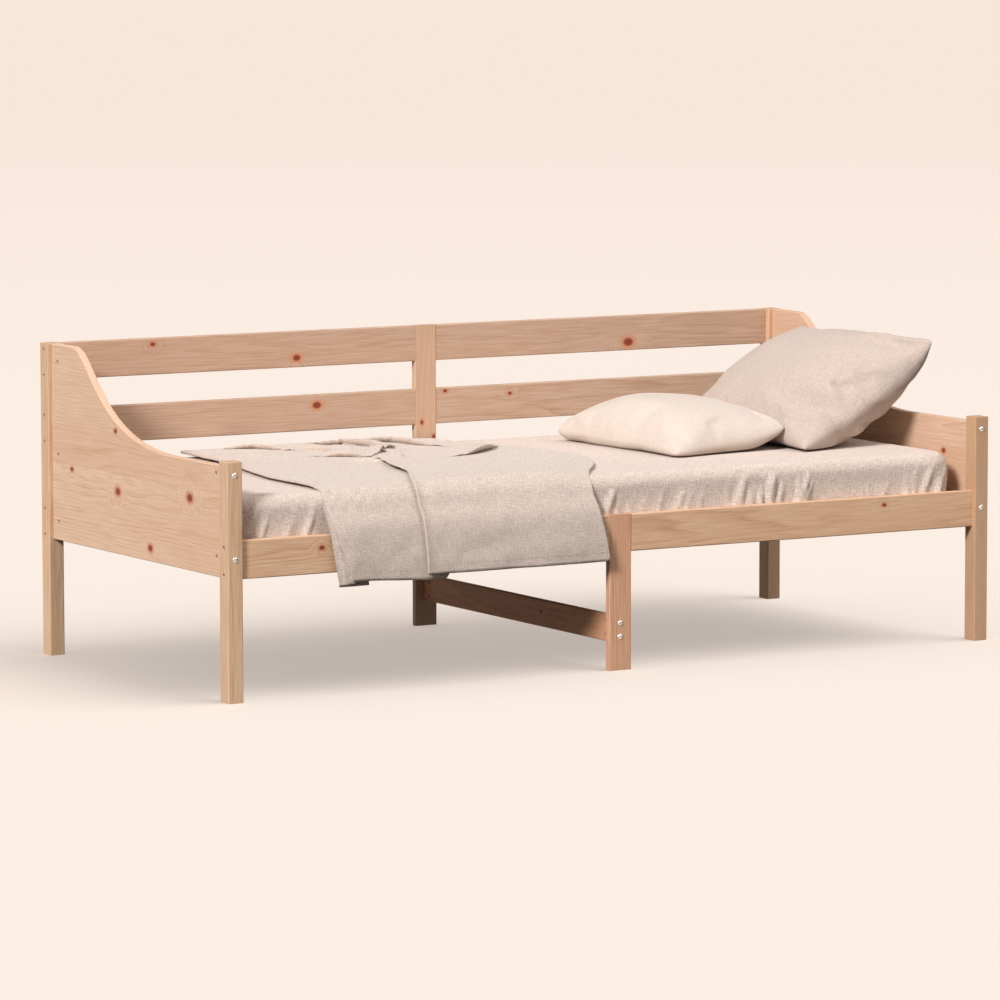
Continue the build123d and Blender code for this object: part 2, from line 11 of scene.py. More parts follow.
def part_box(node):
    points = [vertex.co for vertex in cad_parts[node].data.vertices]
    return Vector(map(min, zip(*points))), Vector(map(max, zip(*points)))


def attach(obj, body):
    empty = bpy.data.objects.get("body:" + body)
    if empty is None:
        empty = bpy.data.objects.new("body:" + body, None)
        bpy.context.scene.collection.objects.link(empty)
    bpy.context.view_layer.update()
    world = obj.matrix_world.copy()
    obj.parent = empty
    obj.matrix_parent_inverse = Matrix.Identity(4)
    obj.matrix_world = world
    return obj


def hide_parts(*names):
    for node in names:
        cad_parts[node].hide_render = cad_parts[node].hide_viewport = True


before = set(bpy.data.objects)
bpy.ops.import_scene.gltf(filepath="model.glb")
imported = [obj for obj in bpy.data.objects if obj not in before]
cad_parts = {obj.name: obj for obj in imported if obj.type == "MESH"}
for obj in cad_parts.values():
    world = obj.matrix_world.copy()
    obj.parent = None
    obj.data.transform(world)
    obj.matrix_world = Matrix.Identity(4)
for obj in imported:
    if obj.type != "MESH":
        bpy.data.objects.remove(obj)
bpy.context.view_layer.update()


# --- small helpers ----------------------------------------------------------

def linear(code):
    """An sRGB hex colour as linear red, green, blue and alpha."""
    channels = [int(code[place:place + 2], 16) / 255 for place in (0, 2, 4)]
    return tuple(
        part / 12.92 if part <= 0.04045 else ((part + 0.055) / 1.055) ** 2.4
        for part in channels
    ) + (1.0,)


def add(tree, kind, links=None, **settings):
    """Add a node, set it up, and link or fill its inputs.

    A link is a socket, a node whose first output is meant, or a plain value.
    """
    node = tree.nodes.new(kind)
    for name, value in settings.items():
        setattr(node, name, value)
    for key, value in (links or {}).items():
        if isinstance(value, bpy.types.Node):
            value = value.outputs[0]
        if isinstance(value, bpy.types.NodeSocket):
            tree.links.new(value, node.inputs[key])
        else:
            node.inputs[key].default_value = value
    return node


def new_material(name, **uniform):
    """A material with one shader; uniform values sit on the shader's sockets."""
    material = bpy.data.materials.new(name)
    material.use_nodes = True
    tree = material.node_tree
    tree.nodes.clear()
    shader = add(tree, "ShaderNodeBsdfPrincipled")
    for socket, value in uniform.items():
        shader.inputs[socket.replace("_", " ")].default_value = value
    add(tree, "ShaderNodeOutputMaterial", {"Surface": shader.outputs["BSDF"]})
    return material, tree, shader


def piece_from(name, points, faces, material, cloth_uv):
    """A smooth mesh piece; cloth_uv is in metres, one for each point."""
    mesh = bpy.data.meshes.new(name)
    mesh.from_pydata([tuple(p) for p in points], [], [tuple(f) for f in faces])
    mesh.materials.append(material)
    mesh.shade_smooth()
    layer = mesh.uv_layers.new(name="cloth")
    corners = np.zeros(len(mesh.loops), int)
    mesh.loops.foreach_get("vertex_index", corners)
    layer.data.foreach_set("uv", np.asarray(cloth_uv, float)[corners].ravel())
    return placed(name, mesh)


def placed(name, data):
    """A new object in the scene."""
    piece = bpy.data.objects.new(name, data)
    bpy.context.scene.collection.objects.link(piece)
    return piece


def baked(piece):
    """Turn the evaluated object into a plain mesh and drop its modifiers."""
    graph = bpy.context.evaluated_depsgraph_get()
    mesh = bpy.data.meshes.new_from_object(piece.evaluated_get(graph))
    piece.modifiers.clear()
    piece.data = mesh
    return piece


def fit_to_bed(piece, slot, *nodes):
    """Ride on the bed and hide the CAD nodes it stands for; slot is not used."""
    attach(piece, "root")
    if nodes:
        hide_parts(*nodes)


def grid_faces(rows, columns):
    """Quads of a grid whose points run row by row."""
    start = np.arange(rows - 1)[:, None] * columns + np.arange(columns - 1)[None, :]
    start = start.ravel()
    return np.stack([start, start + 1, start + columns + 1, start + columns], 1)


def smooth_step(value, low, high):
    """0 below low, 1 above high and a smooth rise between them."""
    share = np.clip((value - low) / (high - low), 0.0, 1.0)
    return share * share * (3 - 2 * share)


def wander(x, y, spread, seed):
    """Smooth noise from -1 to 1 over a field, with features about spread wide."""
    flat = zip(np.ravel(x) / spread, np.ravel(y) / spread)
    values = [noise.noise(Vector((a, b, seed))) for a, b in flat]
    return np.array(values).reshape(np.shape(x))


# --- timber -----------------------------------------------------------------

RING_WIDTH = 0.0052
FIBRE_WIDTH = 0.0028
RING_WOBBLE = 0.020
STAVE_WIDTH = 0.093
BROAD_TINT, HALO_TINT, KNOT_TINT, END_GRAIN_TINT = "d2a485", "cd9270", "8c3f2c", "b98b69"


def clouded(tree, place, scale, detail, seen=(0.0, 1.0), given=(0.0, 1.0)):
    """Soft noise, with the range seen in it stretched to the range given."""
    cloud = add(tree, "ShaderNodeTexNoise", {"Vector": place, "Scale": scale, "Detail": detail})
    return add(tree, "ShaderNodeMapRange", {
        0: cloud.outputs["Fac"], 1: seen[0], 2: seen[1], 3: given[0], 4: given[1],
    }).outputs[0]


def planed_pine(name, grain, light, dark, pith, knots=(), staves=False):
    """Planed and sanded pine, left bare: soft sheen, growth rings, fibres and knots.

    grain is the axis the fibres follow. The rings are cylinders round a pith line
    beside the board, so faces, edges and end grain agree. knots are (place along
    the board, height across it, radius). Staves are edge-glued strips.
    """
    material, tree, shader = new_material(name, Roughness=0.58, Specular_IOR_Level=0.32)
    here = add(tree, "ShaderNodeTexCoord").outputs["Object"]
    axes = add(tree, "ShaderNodeSeparateXYZ", {0: here}).outputs
    order = {"X": ("Y", "Z", "X"), "Y": ("X", "Z", "Y"), "Z": ("Y", "X", "Z")}[grain]
    depth, height, along = (axes[axis] for axis in order)
    run = along
    if staves:
        strip = add(tree, "ShaderNodeMath", {0: height, 1: STAVE_WIDTH}, operation="DIVIDE")
        strip = add(tree, "ShaderNodeMath", {0: strip}, operation="FLOOR")
        pick = add(tree, "ShaderNodeTexWhiteNoise", {"W": strip},
                   noise_dimensions="1D").outputs["Value"]
        run = add(tree, "ShaderNodeMath", {0: pick, 1: 3.0, 2: along}, operation="MULTIPLY_ADD")
        depth = add(tree, "ShaderNodeMath", {0: pick, 1: 0.07, 2: depth}, operation="MULTIPLY_ADD")

    # Rings wander a few millimetres along the board
    slow = add(tree, "ShaderNodeMath", {0: run, 1: 0.11}, operation="MULTIPLY")
    slow_place = add(tree, "ShaderNodeCombineXYZ", {0: depth, 1: height, 2: slow})
    wobble = clouded(tree, slow_place, 11.0, 2.0, given=(-RING_WOBBLE, RING_WOBBLE))
    section = add(tree, "ShaderNodeCombineXYZ", {0: depth, 1: height, 2: 0.0})
    radius = add(tree, "ShaderNodeVectorMath", {0: section, 1: (pith[0], pith[1], 0.0)},
                 operation="DISTANCE").outputs["Value"]
    radius = add(tree, "ShaderNodeMath", {0: radius, 1: wobble}, operation="ADD")

    # Knots push the rings aside
    face = add(tree, "ShaderNodeCombineXYZ", {0: along, 1: height, 2: 0.0})
    knot_mask = halo_mask = 0.0
    for place, level, size in knots:
        off = add(tree, "ShaderNodeVectorMath", {0: face, 1: (place, level, 0.0)},
                  operation="SUBTRACT")
        off = add(tree, "ShaderNodeVectorMath", {0: off, 1: (0.72, 1.0, 1.0)}, operation="MULTIPLY")
        away = add(tree, "ShaderNodeVectorMath", {0: off}, operation="LENGTH").outputs["Value"]
        push = add(tree, "ShaderNodeMapRange",
                   {0: away, 1: size * 5.0, 2: 0.0, 3: 0.0, 4: size * 1.6},
                   interpolation_type="SMOOTHERSTEP")
        radius = add(tree, "ShaderNodeMath", {0: radius, 1: push}, operation="ADD")
        core = add(tree, "ShaderNodeMapRange", {0: away, 1: size * 1.1, 2: size * 0.55},
                   interpolation_type="SMOOTHSTEP")
        halo = add(tree, "ShaderNodeMapRange", {0: away, 1: size * 2.1, 2: size * 0.8},
                   interpolation_type="SMOOTHSTEP")
        knot_mask = add(tree, "ShaderNodeMath", {0: knot_mask, 1: core}, operation="MAXIMUM")
        halo_mask = add(tree, "ShaderNodeMath", {0: halo_mask, 1: halo}, operation="MAXIMUM")

    # Each ring darkens slowly into its late wood and ends sharply
    turns = add(tree, "ShaderNodeMath", {0: radius, 1: RING_WIDTH}, operation="DIVIDE")
    phase = add(tree, "ShaderNodeMath", {0: turns}, operation="FRACT")
    late = add(tree, "ShaderNodeMath", {0: phase, 1: 2.2}, operation="POWER")
    fade = add(tree, "ShaderNodeMapRange", {0: phase, 1: 1.0, 2: 0.90})
    ring = add(tree, "ShaderNodeMath", {0: late, 1: fade}, operation="MULTIPLY")
    patch = clouded(tree, slow_place, 19.0, 2.0, (0.35, 0.65), (0.25, 0.85))
    ring = add(tree, "ShaderNodeMath", {0: ring, 1: patch}, operation="MULTIPLY")

    # Fibres: fine streaks, a little coarser than real ones so that they show
    stretch = add(tree, "ShaderNodeMath", {0: run, 1: 0.035}, operation="MULTIPLY")
    fibre_place = add(tree, "ShaderNodeCombineXYZ", {0: depth, 1: height, 2: stretch})
    streak = clouded(tree, fibre_place, 1 / FIBRE_WIDTH, 3.0, (0.34, 0.66), (0.0, 0.42))
    shade = add(tree, "ShaderNodeMath", {0: ring, 1: 0.62, 2: streak}, operation="MULTIPLY_ADD")
    colour = add(tree, "ShaderNodeMix", {0: shade, 6: linear(light), 7: linear(dark)},
                 data_type="RGBA").outputs[2]
    broad = clouded(tree, slow_place, 3.5, 1.0, (0.4, 0.7), (0.0, 0.45))

    # End grain drinks in more light
    facing = add(tree, "ShaderNodeNewGeometry").outputs["Normal"]
    facing = add(tree, "ShaderNodeSeparateXYZ", {0: facing}).outputs[grain]
    facing = add(tree, "ShaderNodeMath", {0: facing}, operation="ABSOLUTE")
    end = add(tree, "ShaderNodeMapRange", {0: facing, 1: 0.75, 2: 0.95, 3: 0.0, 4: 0.4})
    tints = [(broad, BROAD_TINT)]
    if knots:
        tints += [(halo_mask, HALO_TINT), (knot_mask, KNOT_TINT)]
    for share, tint in tints + [(end, END_GRAIN_TINT)]:
        colour = add(tree, "ShaderNodeMix", {0: share, 6: colour, 7: linear(tint)},
                     data_type="RGBA").outputs[2]
    tree.links.new(colour, shader.inputs["Base Color"])
    relief = add(tree, "ShaderNodeMath", {0: shade, 1: -1.0}, operation="MULTIPLY")
    bump = add(tree, "ShaderNodeBump", {"Strength": 0.25, "Distance": 0.0004, "Height": relief})
    tree.links.new(bump.outputs[0], shader.inputs["Normal"])
    return material


# Knots in each board: place along it, height across it, radius
KNOTS = {
    "side_panel_left": [
        (0.09, 0.425, 0.010), (-0.275, 0.445, 0.011), (-0.075, 0.310, 0.009),
        (0.332, 0.455, 0.006), (0.10, 0.565, 0.006),
    ],
    "side_panel_right": [(-0.33, 0.45, 0.007), (0.12, 0.38, 0.008)],
    "back_rail_top_left": [(-0.75, 0.730, 0.006), (-0.36, 0.680, 0.009)],
    "back_rail_top_right": [(0.585, 0.678, 0.012)],
    "back_rail_middle_left": [(-0.305, 0.562, 0.010)],
    "back_rail_middle_right": [(0.24, 0.565, 0.005), (0.055, 0.580, 0.005)],
    "back_rail_low_left": [(-0.62, 0.33, 0.009)],
    "back_rail_low_right": [(0.46, 0.31, 0.010)],
    "front_rail_left": [(-0.79, 0.337, 0.006)],
    "front_rail_right": [(0.74, 0.345, 0.005)],
    "middle_post_back": [(0.505, -0.011, 0.005), (0.468, 0.022, 0.005)],
    "stretcher": [(-0.12, 0.10, 0.006)],
    "slat_04": [(0.21, 0.31, 0.008)],
    "slat_09": [(-0.15, 0.31, 0.009)],
    "slat_12": [(0.02, 0.31, 0.007)],
}
# Early and late wood of each family of boards
TIMBER_TONES = {
    "post_front_right": ("c9a686", "9f7350"),
    "side_panel_left": ("e9c9b0", "c49674"),
    "side_panel_right": ("ddbfa8", "bb8f6f"),
    "post": ("e3c2a2", "b88964"),
    "middle_leg": ("e0b192", "b87c5a"),
    "middle_post": ("d3bca4", "ad8567"),
    "front_rail": ("e6c2a1", "b98660"),
    "back_rail": ("c9ae9a", "a47c61"),
    "stretcher": ("d9a27f", "a8704e"),
    "slat": ("e6c09d", "bd8d68"),
}


def finish_timber():
    """Give every board its own piece of pine."""
    chance = random.Random(17)
    not_timber = ("tape", "screws", "nuts", "bolts")
    for node, board in sorted(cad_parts.items()):
        family = next((key for key in TIMBER_TONES if node.startswith(key)), None)
        if family is None or any(word in node for word in not_timber):
            continue
        low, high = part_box(node)
        spans = high - low
        grain = "XYZ"[max(range(3), key=lambda axis: spans[axis])]
        middle = (low + high) / 2
        side = chance.choice((-1, 1))
        away = chance.uniform(0.05, 0.16)
        lift = chance.uniform(-0.10, 0.10)
        depth, height = {"X": (middle.y, middle.z), "Y": (middle.x, middle.z),
                         "Z": (middle.y, middle.x)}[grain]
        light, dark = TIMBER_TONES[family]
        dress(board, planed_pine(
            "planed_pine_" + node, grain, light, dark, (depth + side * away, height + lift),
            KNOTS.get(node, ()), staves=node.startswith("side_panel")))


def dress(board, material):
    """Put one material in all of a CAD node's slots."""
    if not board.material_slots:
        board.data.materials.append(material)
    for place in board.material_slots:
        place.material = material


# --- metal, dowels and tape -------------------------------------------------

def plated_metal(name, colour, roughness, speck):
    """Plated steel: a metal skin with faint blotches where the plating settled."""
    material, tree, shader = new_material(name, Metallic=1.0)
    here = add(tree, "ShaderNodeTexCoord").outputs["Object"]
    tint = clouded(tree, here, 1 / speck, 3.0, (0.35, 0.65), (0.0, 0.35))
    skin = add(tree, "ShaderNodeMix", {0: tint, 6: linear(colour), 7: linear("8f8f8c")},
               data_type="RGBA").outputs[2]
    dull = clouded(tree, here, 1 / speck, 3.0, given=(roughness - 0.07, roughness + 0.09))
    tree.links.new(skin, shader.inputs["Base Color"])
    tree.links.new(dull, shader.inputs["Roughness"])
    return material


def turned_beech(name):
    """Turned beech dowel: pinkish wood with short dark flecks."""
    material, tree, shader = new_material(name, Roughness=0.6)
    here = add(tree, "ShaderNodeTexCoord").outputs["Object"]
    place = add(tree, "ShaderNodeMapping", {0: here, "Scale": (60.0, 700.0, 700.0)})
    mask = clouded(tree, place, 1.0, 2.0, (0.55, 0.70))
    skin = add(tree, "ShaderNodeMix", {0: mask, 6: linear("d9b08c"), 7: linear("a87550")},
               data_type="RGBA").outputs[2]
    tree.links.new(skin, shader.inputs["Base Color"])
    return material


RIB_SPACING = 0.0079
WAVES_PER_SCALE = 20 / (2 * math.pi)


def woven_tape(name):
    """Polyester webbing: flat ribs across the tape, drawn coarse so that they show."""
    material, tree, shader = new_material(name, Roughness=0.8, Sheen_Weight=0.2)
    here = add(tree, "ShaderNodeTexCoord").outputs["Object"]
    rib = add(tree, "ShaderNodeTexWave", {"Vector": here, "Scale": 1 / RIB_SPACING / WAVES_PER_SCALE},
              bands_direction="X")
    skin = add(tree, "ShaderNodeMix",
               {0: rib.outputs["Fac"], 6: linear("b9b0a4"), 7: linear("dcd5ca")},
               data_type="RGBA").outputs[2]
    bump = add(tree, "ShaderNodeBump", {"Strength": 0.4, "Distance": 0.0003,
                                        "Height": rib.outputs["Fac"]})
    tree.links.new(skin, shader.inputs["Base Color"])
    tree.links.new(bump.outputs[0], shader.inputs["Normal"])
    return material


# --- cloth finishes ---------------------------------------------------------

def woven_cloth(name, light, dark, thread, slub, depth, fuzz):
    """A plain weave read from the cloth's own thread directions.

    thread is the spacing in metres, drawn coarser than real so that it shows; slub
    is the spread over which yarns go from dark to light, so a small one gives strong
    contrast; depth is the weave's relief in metres, fuzz the nap's sheen.
    """
    material, tree, shader = new_material(
        name, Roughness=0.92, Sheen_Weight=fuzz, Sheen_Roughness=0.5, Specular_IOR_Level=0.15
    )
    flat = add(tree, "ShaderNodeUVMap", uv_map="cloth")
    yarns = []
    for scale in ((1 / thread, 0.10 / thread, 1.0), (0.10 / thread, 1 / thread, 1.0)):
        place = add(tree, "ShaderNodeMapping", {0: flat, "Scale": scale})
        yarn = add(tree, "ShaderNodeTexNoise", {"Vector": place, "Scale": 1.0, "Detail": 2.0})
        yarns.append(yarn.outputs["Fac"])
    yarn_sum = add(tree, "ShaderNodeMath", {0: yarns[0], 1: yarns[1]}, operation="ADD")
    fleck_place = add(tree, "ShaderNodeMapping",
                      {0: flat, "Scale": (0.55 / thread, 0.55 / thread, 1.0)})
    fleck = add(tree, "ShaderNodeTexNoise", {"Vector": fleck_place, "Scale": 1.0, "Detail": 3.0})
    yarn_sum = add(tree, "ShaderNodeMath", {0: yarn_sum, 1: fleck.outputs["Fac"]}, operation="ADD")
    mix = add(tree, "ShaderNodeMapRange", {0: yarn_sum, 1: 1.5 - slub, 2: 1.5 + slub})
    colour = add(tree, "ShaderNodeMix", {0: mix, 6: linear(dark), 7: linear(light)},
                 data_type="RGBA").outputs[2]
    tree.links.new(colour, shader.inputs["Base Color"])
    turn = math.pi / thread
    parts = add(tree, "ShaderNodeSeparateXYZ", {0: flat}).outputs
    waves = []
    for part in (parts[0], parts[1]):
        angle = add(tree, "ShaderNodeMath", {0: part, 1: turn}, operation="MULTIPLY")
        waves.append(add(tree, "ShaderNodeMath", {0: angle}, operation="SINE"))
    weave = add(tree, "ShaderNodeMath", {0: waves[0], 1: waves[1]}, operation="MULTIPLY")
    relief = add(tree, "ShaderNodeMath", {0: yarn_sum, 1: 1.6, 2: weave}, operation="MULTIPLY_ADD")
    bump = add(tree, "ShaderNodeBump", {"Strength": 0.6, "Distance": depth, "Height": relief})
    tree.links.new(bump.outputs[0], shader.inputs["Normal"])
    return material


CLOTHS = {
    "washed_linen_plain_weave": ("f2e0d5", "bba89b", 0.0022, 0.36, 0.0006, 0.25),
    "washed_linen_pillowcase": ("d0bfb5", "b3a296", 0.0022, 0.42, 0.0003, 0.25),
    "brushed_linen_throw": ("e4d3c8", "bbaa9d", 0.0025, 0.34, 0.0008, 0.3),
    "cream_cotton_percale": ("dccfc5", "cfbfb3", 0.0020, 0.45, 0.0004, 0.15),
    "cotton_ticking": ("eeeae3", "cfc9bf", 0.0022, 0.35, 0.0005, 0.1),
    "sewing_thread": ("cbb6a8", "a89384", 0.0008, 0.4, 0.0001, 0.1),
}
cloths = {name: woven_cloth(name, *values) for name, values in CLOTHS.items()}


# --- mattress and fitted sheet ----------------------------------------------

def box_skin(low, high, steps, tuck=None):
    """Points, faces and cloth coordinates of a box's skin, welded at its edges.

    steps gives the places of the grid lines on each axis. With tuck, the underside
    is only a strip that wide round its edge.
    """
    points, cloth, quads = {}, [], []
    found = []

    def corner(place, flat):
        key = tuple(np.round(place, 6))
        if key not in points:
            points[key] = len(found)
            found.append(place)
            cloth.append(flat)
        return points[key]

    def side(first, second, fixed, value, flat_of, flip):
        for a, a_next in zip(steps[first][:-1], steps[first][1:]):
            for b, b_next in zip(steps[second][:-1], steps[second][1:]):
                ring = []
                for u, v in ((a, b), (a_next, b), (a_next, b_next), (a, b_next)):
                    place = [0.0, 0.0, 0.0]
                    place[first], place[second], place[fixed] = u, v, value
                    ring.append(corner(place, flat_of(place)))
                if fixed == 2 and value == low[2] and tuck is not None:
                    inside = min(a - low[0], high[0] - a_next, b - low[1], high[1] - b_next)
                    if inside > tuck:
                        continue
                quads.append(ring[::-1] if flip else ring)

    top = high[2]
    side(0, 1, 2, top, lambda p: (p[0], p[1]), False)
    side(0, 2, 1, low[1], lambda p: (p[0], low[1] - (top - p[2])), False)
    side(0, 2, 1, high[1], lambda p: (p[0], high[1] + (top - p[2])), True)
    side(1, 2, 0, low[0], lambda p: (low[0] - (top - p[2]), p[1]), True)
    side(1, 2, 0, high[0], lambda p: (high[0] + (top - p[2]), p[1]), False)
    side(0, 1, 2, low[2], lambda p: (p[0], p[1] + 1.0), True)
    return np.array(found, float), quads, np.array(cloth, float)


def rounded(points, low, high, corner, edge):
    """Round a box's upright corners and its top and bottom edges."""
    low, high = np.array(low), np.array(high)
    out = points.copy()
    inner = np.clip(points[:, :2], low[:2] + corner, high[:2] - corner)
    arm = points[:, :2] - inner
    square = np.abs(arm).max(1)
    length = np.maximum(np.linalg.norm(arm, axis=1), 1e-9)
    inset = corner - square
    drop = np.minimum(high[2] - points[:, 2], points[:, 2] - low[2])
    near = (inset < edge) & (drop < edge)
    a, b = edge - inset[near], edge - drop[near]
    scale = edge / np.maximum(np.hypot(a, b), 1e-9)
    inset[near], drop[near] = edge - a * scale, edge - b * scale
    out[:, :2] = inner + arm / length[:, None] * (corner - inset)[:, None]
    upper = points[:, 2] > (low[2] + high[2]) / 2
    out[:, 2] = np.where(upper, high[2] - drop, low[2] + drop)
    return out


def lines(low, high, coarse, fine, rim):
    """Grid lines from low to high: fine within rim of each end, coarse between."""
    rim_count = max(2, int(round(rim / fine)))
    middle_count = max(1, int(round((high - low - 2 * rim) / coarse)))
    first = np.linspace(low, low + rim, rim_count + 1)
    middle = np.linspace(low + rim, high - rim, middle_count + 1)[1:]
    last = np.linspace(high - rim, high, rim_count + 1)[1:]
    return np.concatenate([first, middle, last])


MATTRESS_SLACK = 0.018
MATTRESS_CORNER = 0.075
TICKING_GAP = 0.003
PIPING_LEVEL, PIPING_HEIGHT, PIPING_WIDTH = 0.016, 0.0028, 0.0035
SIDE_BULGE = 0.004


def make_mattress():
    """A foam mattress in cotton ticking, with piping round both edges."""
    low, high = (np.array(corner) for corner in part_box("mattress"))
    high[0] -= MATTRESS_SLACK
    steps = [
        lines(low[0], high[0], 0.030, 0.006, 0.06),
        lines(low[1], high[1], 0.030, 0.006, 0.06),
        np.linspace(low[2], high[2], 24),
    ]
    points, quads, cloth = box_skin(low, high, steps)
    points = rounded(points, low, high, MATTRESS_CORNER - TICKING_GAP, 0.022)
    level = np.minimum(points[:, 2] - low[2], high[2] - points[:, 2])
    arm = points[:, :2] - (low + high)[:2] / 2
    half = (high - low)[:2] / 2
    side = (np.abs(arm) > half - 0.025).any(1)
    piping = np.exp(-((level - PIPING_LEVEL) / PIPING_WIDTH) ** 2) * PIPING_HEIGHT
    halfway = np.clip(level / ((high[2] - low[2]) / 2), 0, 1)
    bulge = SIDE_BULGE * (np.sin(np.pi * halfway / 2) - 1)
    outward = np.sign(arm) * (np.abs(arm) > half - 0.03)
    points[:, :2] += outward * np.where(side, piping + bulge, 0.0)[:, None]
    pad = piece_from("mattress_pad", points, quads, cloths["cotton_ticking"], cloth)
    fit_to_bed(pad, "mattress_ticking", "mattress")


GATHERS = 150
TUCK = 0.07


def make_fitted_sheet():
    """The fitted sheet: elastic below pulls gathers down its sides."""
    low, high = (np.array(corner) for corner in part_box("fitted_sheet"))
    low[2] -= 0.0015
    high[0] -= MATTRESS_SLACK
    steps = [
        lines(low[0], high[0], 0.0058, 0.0055, 0.075),
        lines(low[1], high[1], 0.034, 0.0068, 0.075),
        np.linspace(low[2], high[2], 26),
    ]
    points, quads, cloth = box_skin(low, high, steps, tuck=TUCK)
    points = rounded(points, low, high, MATTRESS_CORNER, 0.030)
    top, depth = high[2], high[2] - low[2]
    down = (top - points[:, 2]) / depth
    x, y = points[:, 0], points[:, 1]
    along = np.where(np.abs(y) > np.abs(high[1]) - 0.06, x, y + 2.0)

    # Gathers: narrow upright folds that lean a little and fade towards the top
    chance = random.Random(23)
    level = points[:, 2] - low[2]
    lift = 0.0030 * wander(along, down * 0.1, 0.06, 1.0) * smooth_step(down, 0.10, 0.60)
    reach = np.abs(along).max()
    for _ in range(GATHERS):
        place = chance.uniform(-1.02, reach)
        crowded = wander(np.array([place]), np.array([0.0]), 0.30, 9.0)[0]
        tall = chance.uniform(0.0030, 0.0085) * (0.45 + 0.9 * max(0.0, crowded + 0.25))
        broad = chance.uniform(0.0050, 0.0095)
        slant = chance.uniform(-0.05, 0.55)
        start = chance.uniform(0.02, 0.40)
        fold = np.exp(-((along - place - slant * level) / broad) ** 2)
        lift = lift + tall * fold * smooth_step(down, start, start + 0.30)
    below = points[:, 2] < low[2] + 0.012
    outward = np.zeros_like(points)
    inner = np.clip(points[:, :2], low[:2] + MATTRESS_CORNER, high[:2] - MATTRESS_CORNER)
    arm = points[:, :2] - inner
    length = np.linalg.norm(arm, axis=1)
    steep = smooth_step(length, MATTRESS_CORNER - 0.028, MATTRESS_CORNER)
    outward[:, :2] = arm / np.maximum(length, 1e-9)[:, None]
    lift = np.clip(lift, -0.0012, 0.0092)
    lift[below] *= 0.3
    points += outward * (lift * steep)[:, None]

    # The top is nearly flat: shallow hollows and a few drag lines to the edges
    on_top = smooth_step(points[:, 2], top - 0.03, top - 0.004)
    soft = 0.0022 * wander(x, y, 0.34, 2.0) + 0.0010 * wander(x * 0.6, y, 0.11, 7.0)
    edge_near = smooth_step(-np.minimum(high[1] - y, y - low[1]), -0.16, -0.02)
    drag = 0.0014 * wander(x, y * 0.18, 0.035, 12.0) * edge_near
    points[:, 2] += on_top * np.clip(soft + drag, -0.0004, 0.004)
    sheet = piece_from("fitted_sheet_cover", points, quads, cloths["washed_linen_plain_weave"],
                       cloth)
    thick = sheet.modifiers.new("cloth_thickness", "SOLIDIFY")
    thick.thickness = 0.0007
    thick.offset = 1.0
    fit_to_bed(sheet, "linen_grey", "fitted_sheet")


# --- throw ------------------------------------------------------------------

def over_the_edge():
    """The throw's line over the mattress and down the rail: (y, z) every 1 mm."""
    sheet_low, sheet_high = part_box("fitted_sheet")
    rail_low, rail_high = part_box("front_rail_left")
    throw_low, throw_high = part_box("throw_blanket")
    top = sheet_high.z + 0.0042
    face = rail_low.y - 0.0032
    corners = [
        (throw_high.y, top), (sheet_low.y + 0.075, top), (sheet_low.y + 0.028, top - 0.004),
        (sheet_low.y + 0.004, top - 0.022), (sheet_low.y - 0.006, top - 0.048),
        (face + 0.003, rail_high.z + 0.016), (face, rail_high.z - 0.010), (face, throw_low.z),
    ]
    dense = []
    for first, last in zip(corners[:-1], corners[1:]):
        count = max(2, int(math.dist(first, last) / 0.001))
        for step in range(count):
            share = step / count
            dense.append([first[0] + (last[0] - first[0]) * share,
                          first[1] + (last[1] - first[1]) * share])
    dense.append(list(corners[-1]))
    line = np.array(dense)
    for _ in range(160):
        line[1:-1] = (line[:-2] + line[1:-1] * 2 + line[2:]) / 4
    return line


THROW_LINE = over_the_edge()
THROW_STEPS = np.concatenate(
    [[0], np.cumsum(np.linalg.norm(np.diff(THROW_LINE, axis=0), axis=1))])
THROW_RUN = THROW_STEPS[-1]
EDGE_RUN = float(np.interp(0.40, -THROW_LINE[:, 0], THROW_STEPS))  # near the mattress's edge


def throw_place(x, run, rise):
    """World points of the throw: across x, along its line, and out from it."""
    y = np.interp(run, THROW_STEPS, THROW_LINE[:, 0])
    z = np.interp(run, THROW_STEPS, THROW_LINE[:, 1])
    ahead, behind = np.minimum(run + 0.004, THROW_RUN), np.maximum(run - 0.004, 0.0)
    step_y = np.interp(ahead, THROW_STEPS, THROW_LINE[:, 0]) - np.interp(
        behind, THROW_STEPS, THROW_LINE[:, 0])
    step_z = np.interp(ahead, THROW_STEPS, THROW_LINE[:, 1]) - np.interp(
        behind, THROW_STEPS, THROW_LINE[:, 1])
    size = np.hypot(step_y, step_z)
    return np.stack([x, y + rise * step_z / size, z - rise * step_y / size], -1)


def ridge(x, y, stops, height, steep, gentle):
    """A crease along a bent line, steep on its left side and gentle on its right."""
    best = np.full(np.shape(x), 1e9)
    side = np.zeros(np.shape(x))
    share = np.zeros(np.shape(x))
    total = sum(math.dist(a, b) for a, b in zip(stops[:-1], stops[1:]))
    done = 0.0
    for (ax, ay), (bx, by) in zip(stops[:-1], stops[1:]):
        span = math.dist((ax, ay), (bx, by))
        t = np.clip(((x - ax) * (bx - ax) + (y - ay) * (by - ay)) / span**2, 0, 1)
        away = np.hypot(x - ax - t * (bx - ax), y - ay - t * (by - ay))
        cross = (bx - ax) * (y - ay) - (by - ay) * (x - ax)
        closer = away < best
        best = np.where(closer, away, best)
        side = np.where(closer, np.sign(cross), side)
        share = np.where(closer, (done + t * span) / total, share)
        done += span
    width = np.where(side > 0, steep, gentle)
    taper = np.sin(np.pi * np.clip(share, 0.04, 0.96)) ** 0.6
    return height * np.exp(-((best / width) ** 2)) * taper


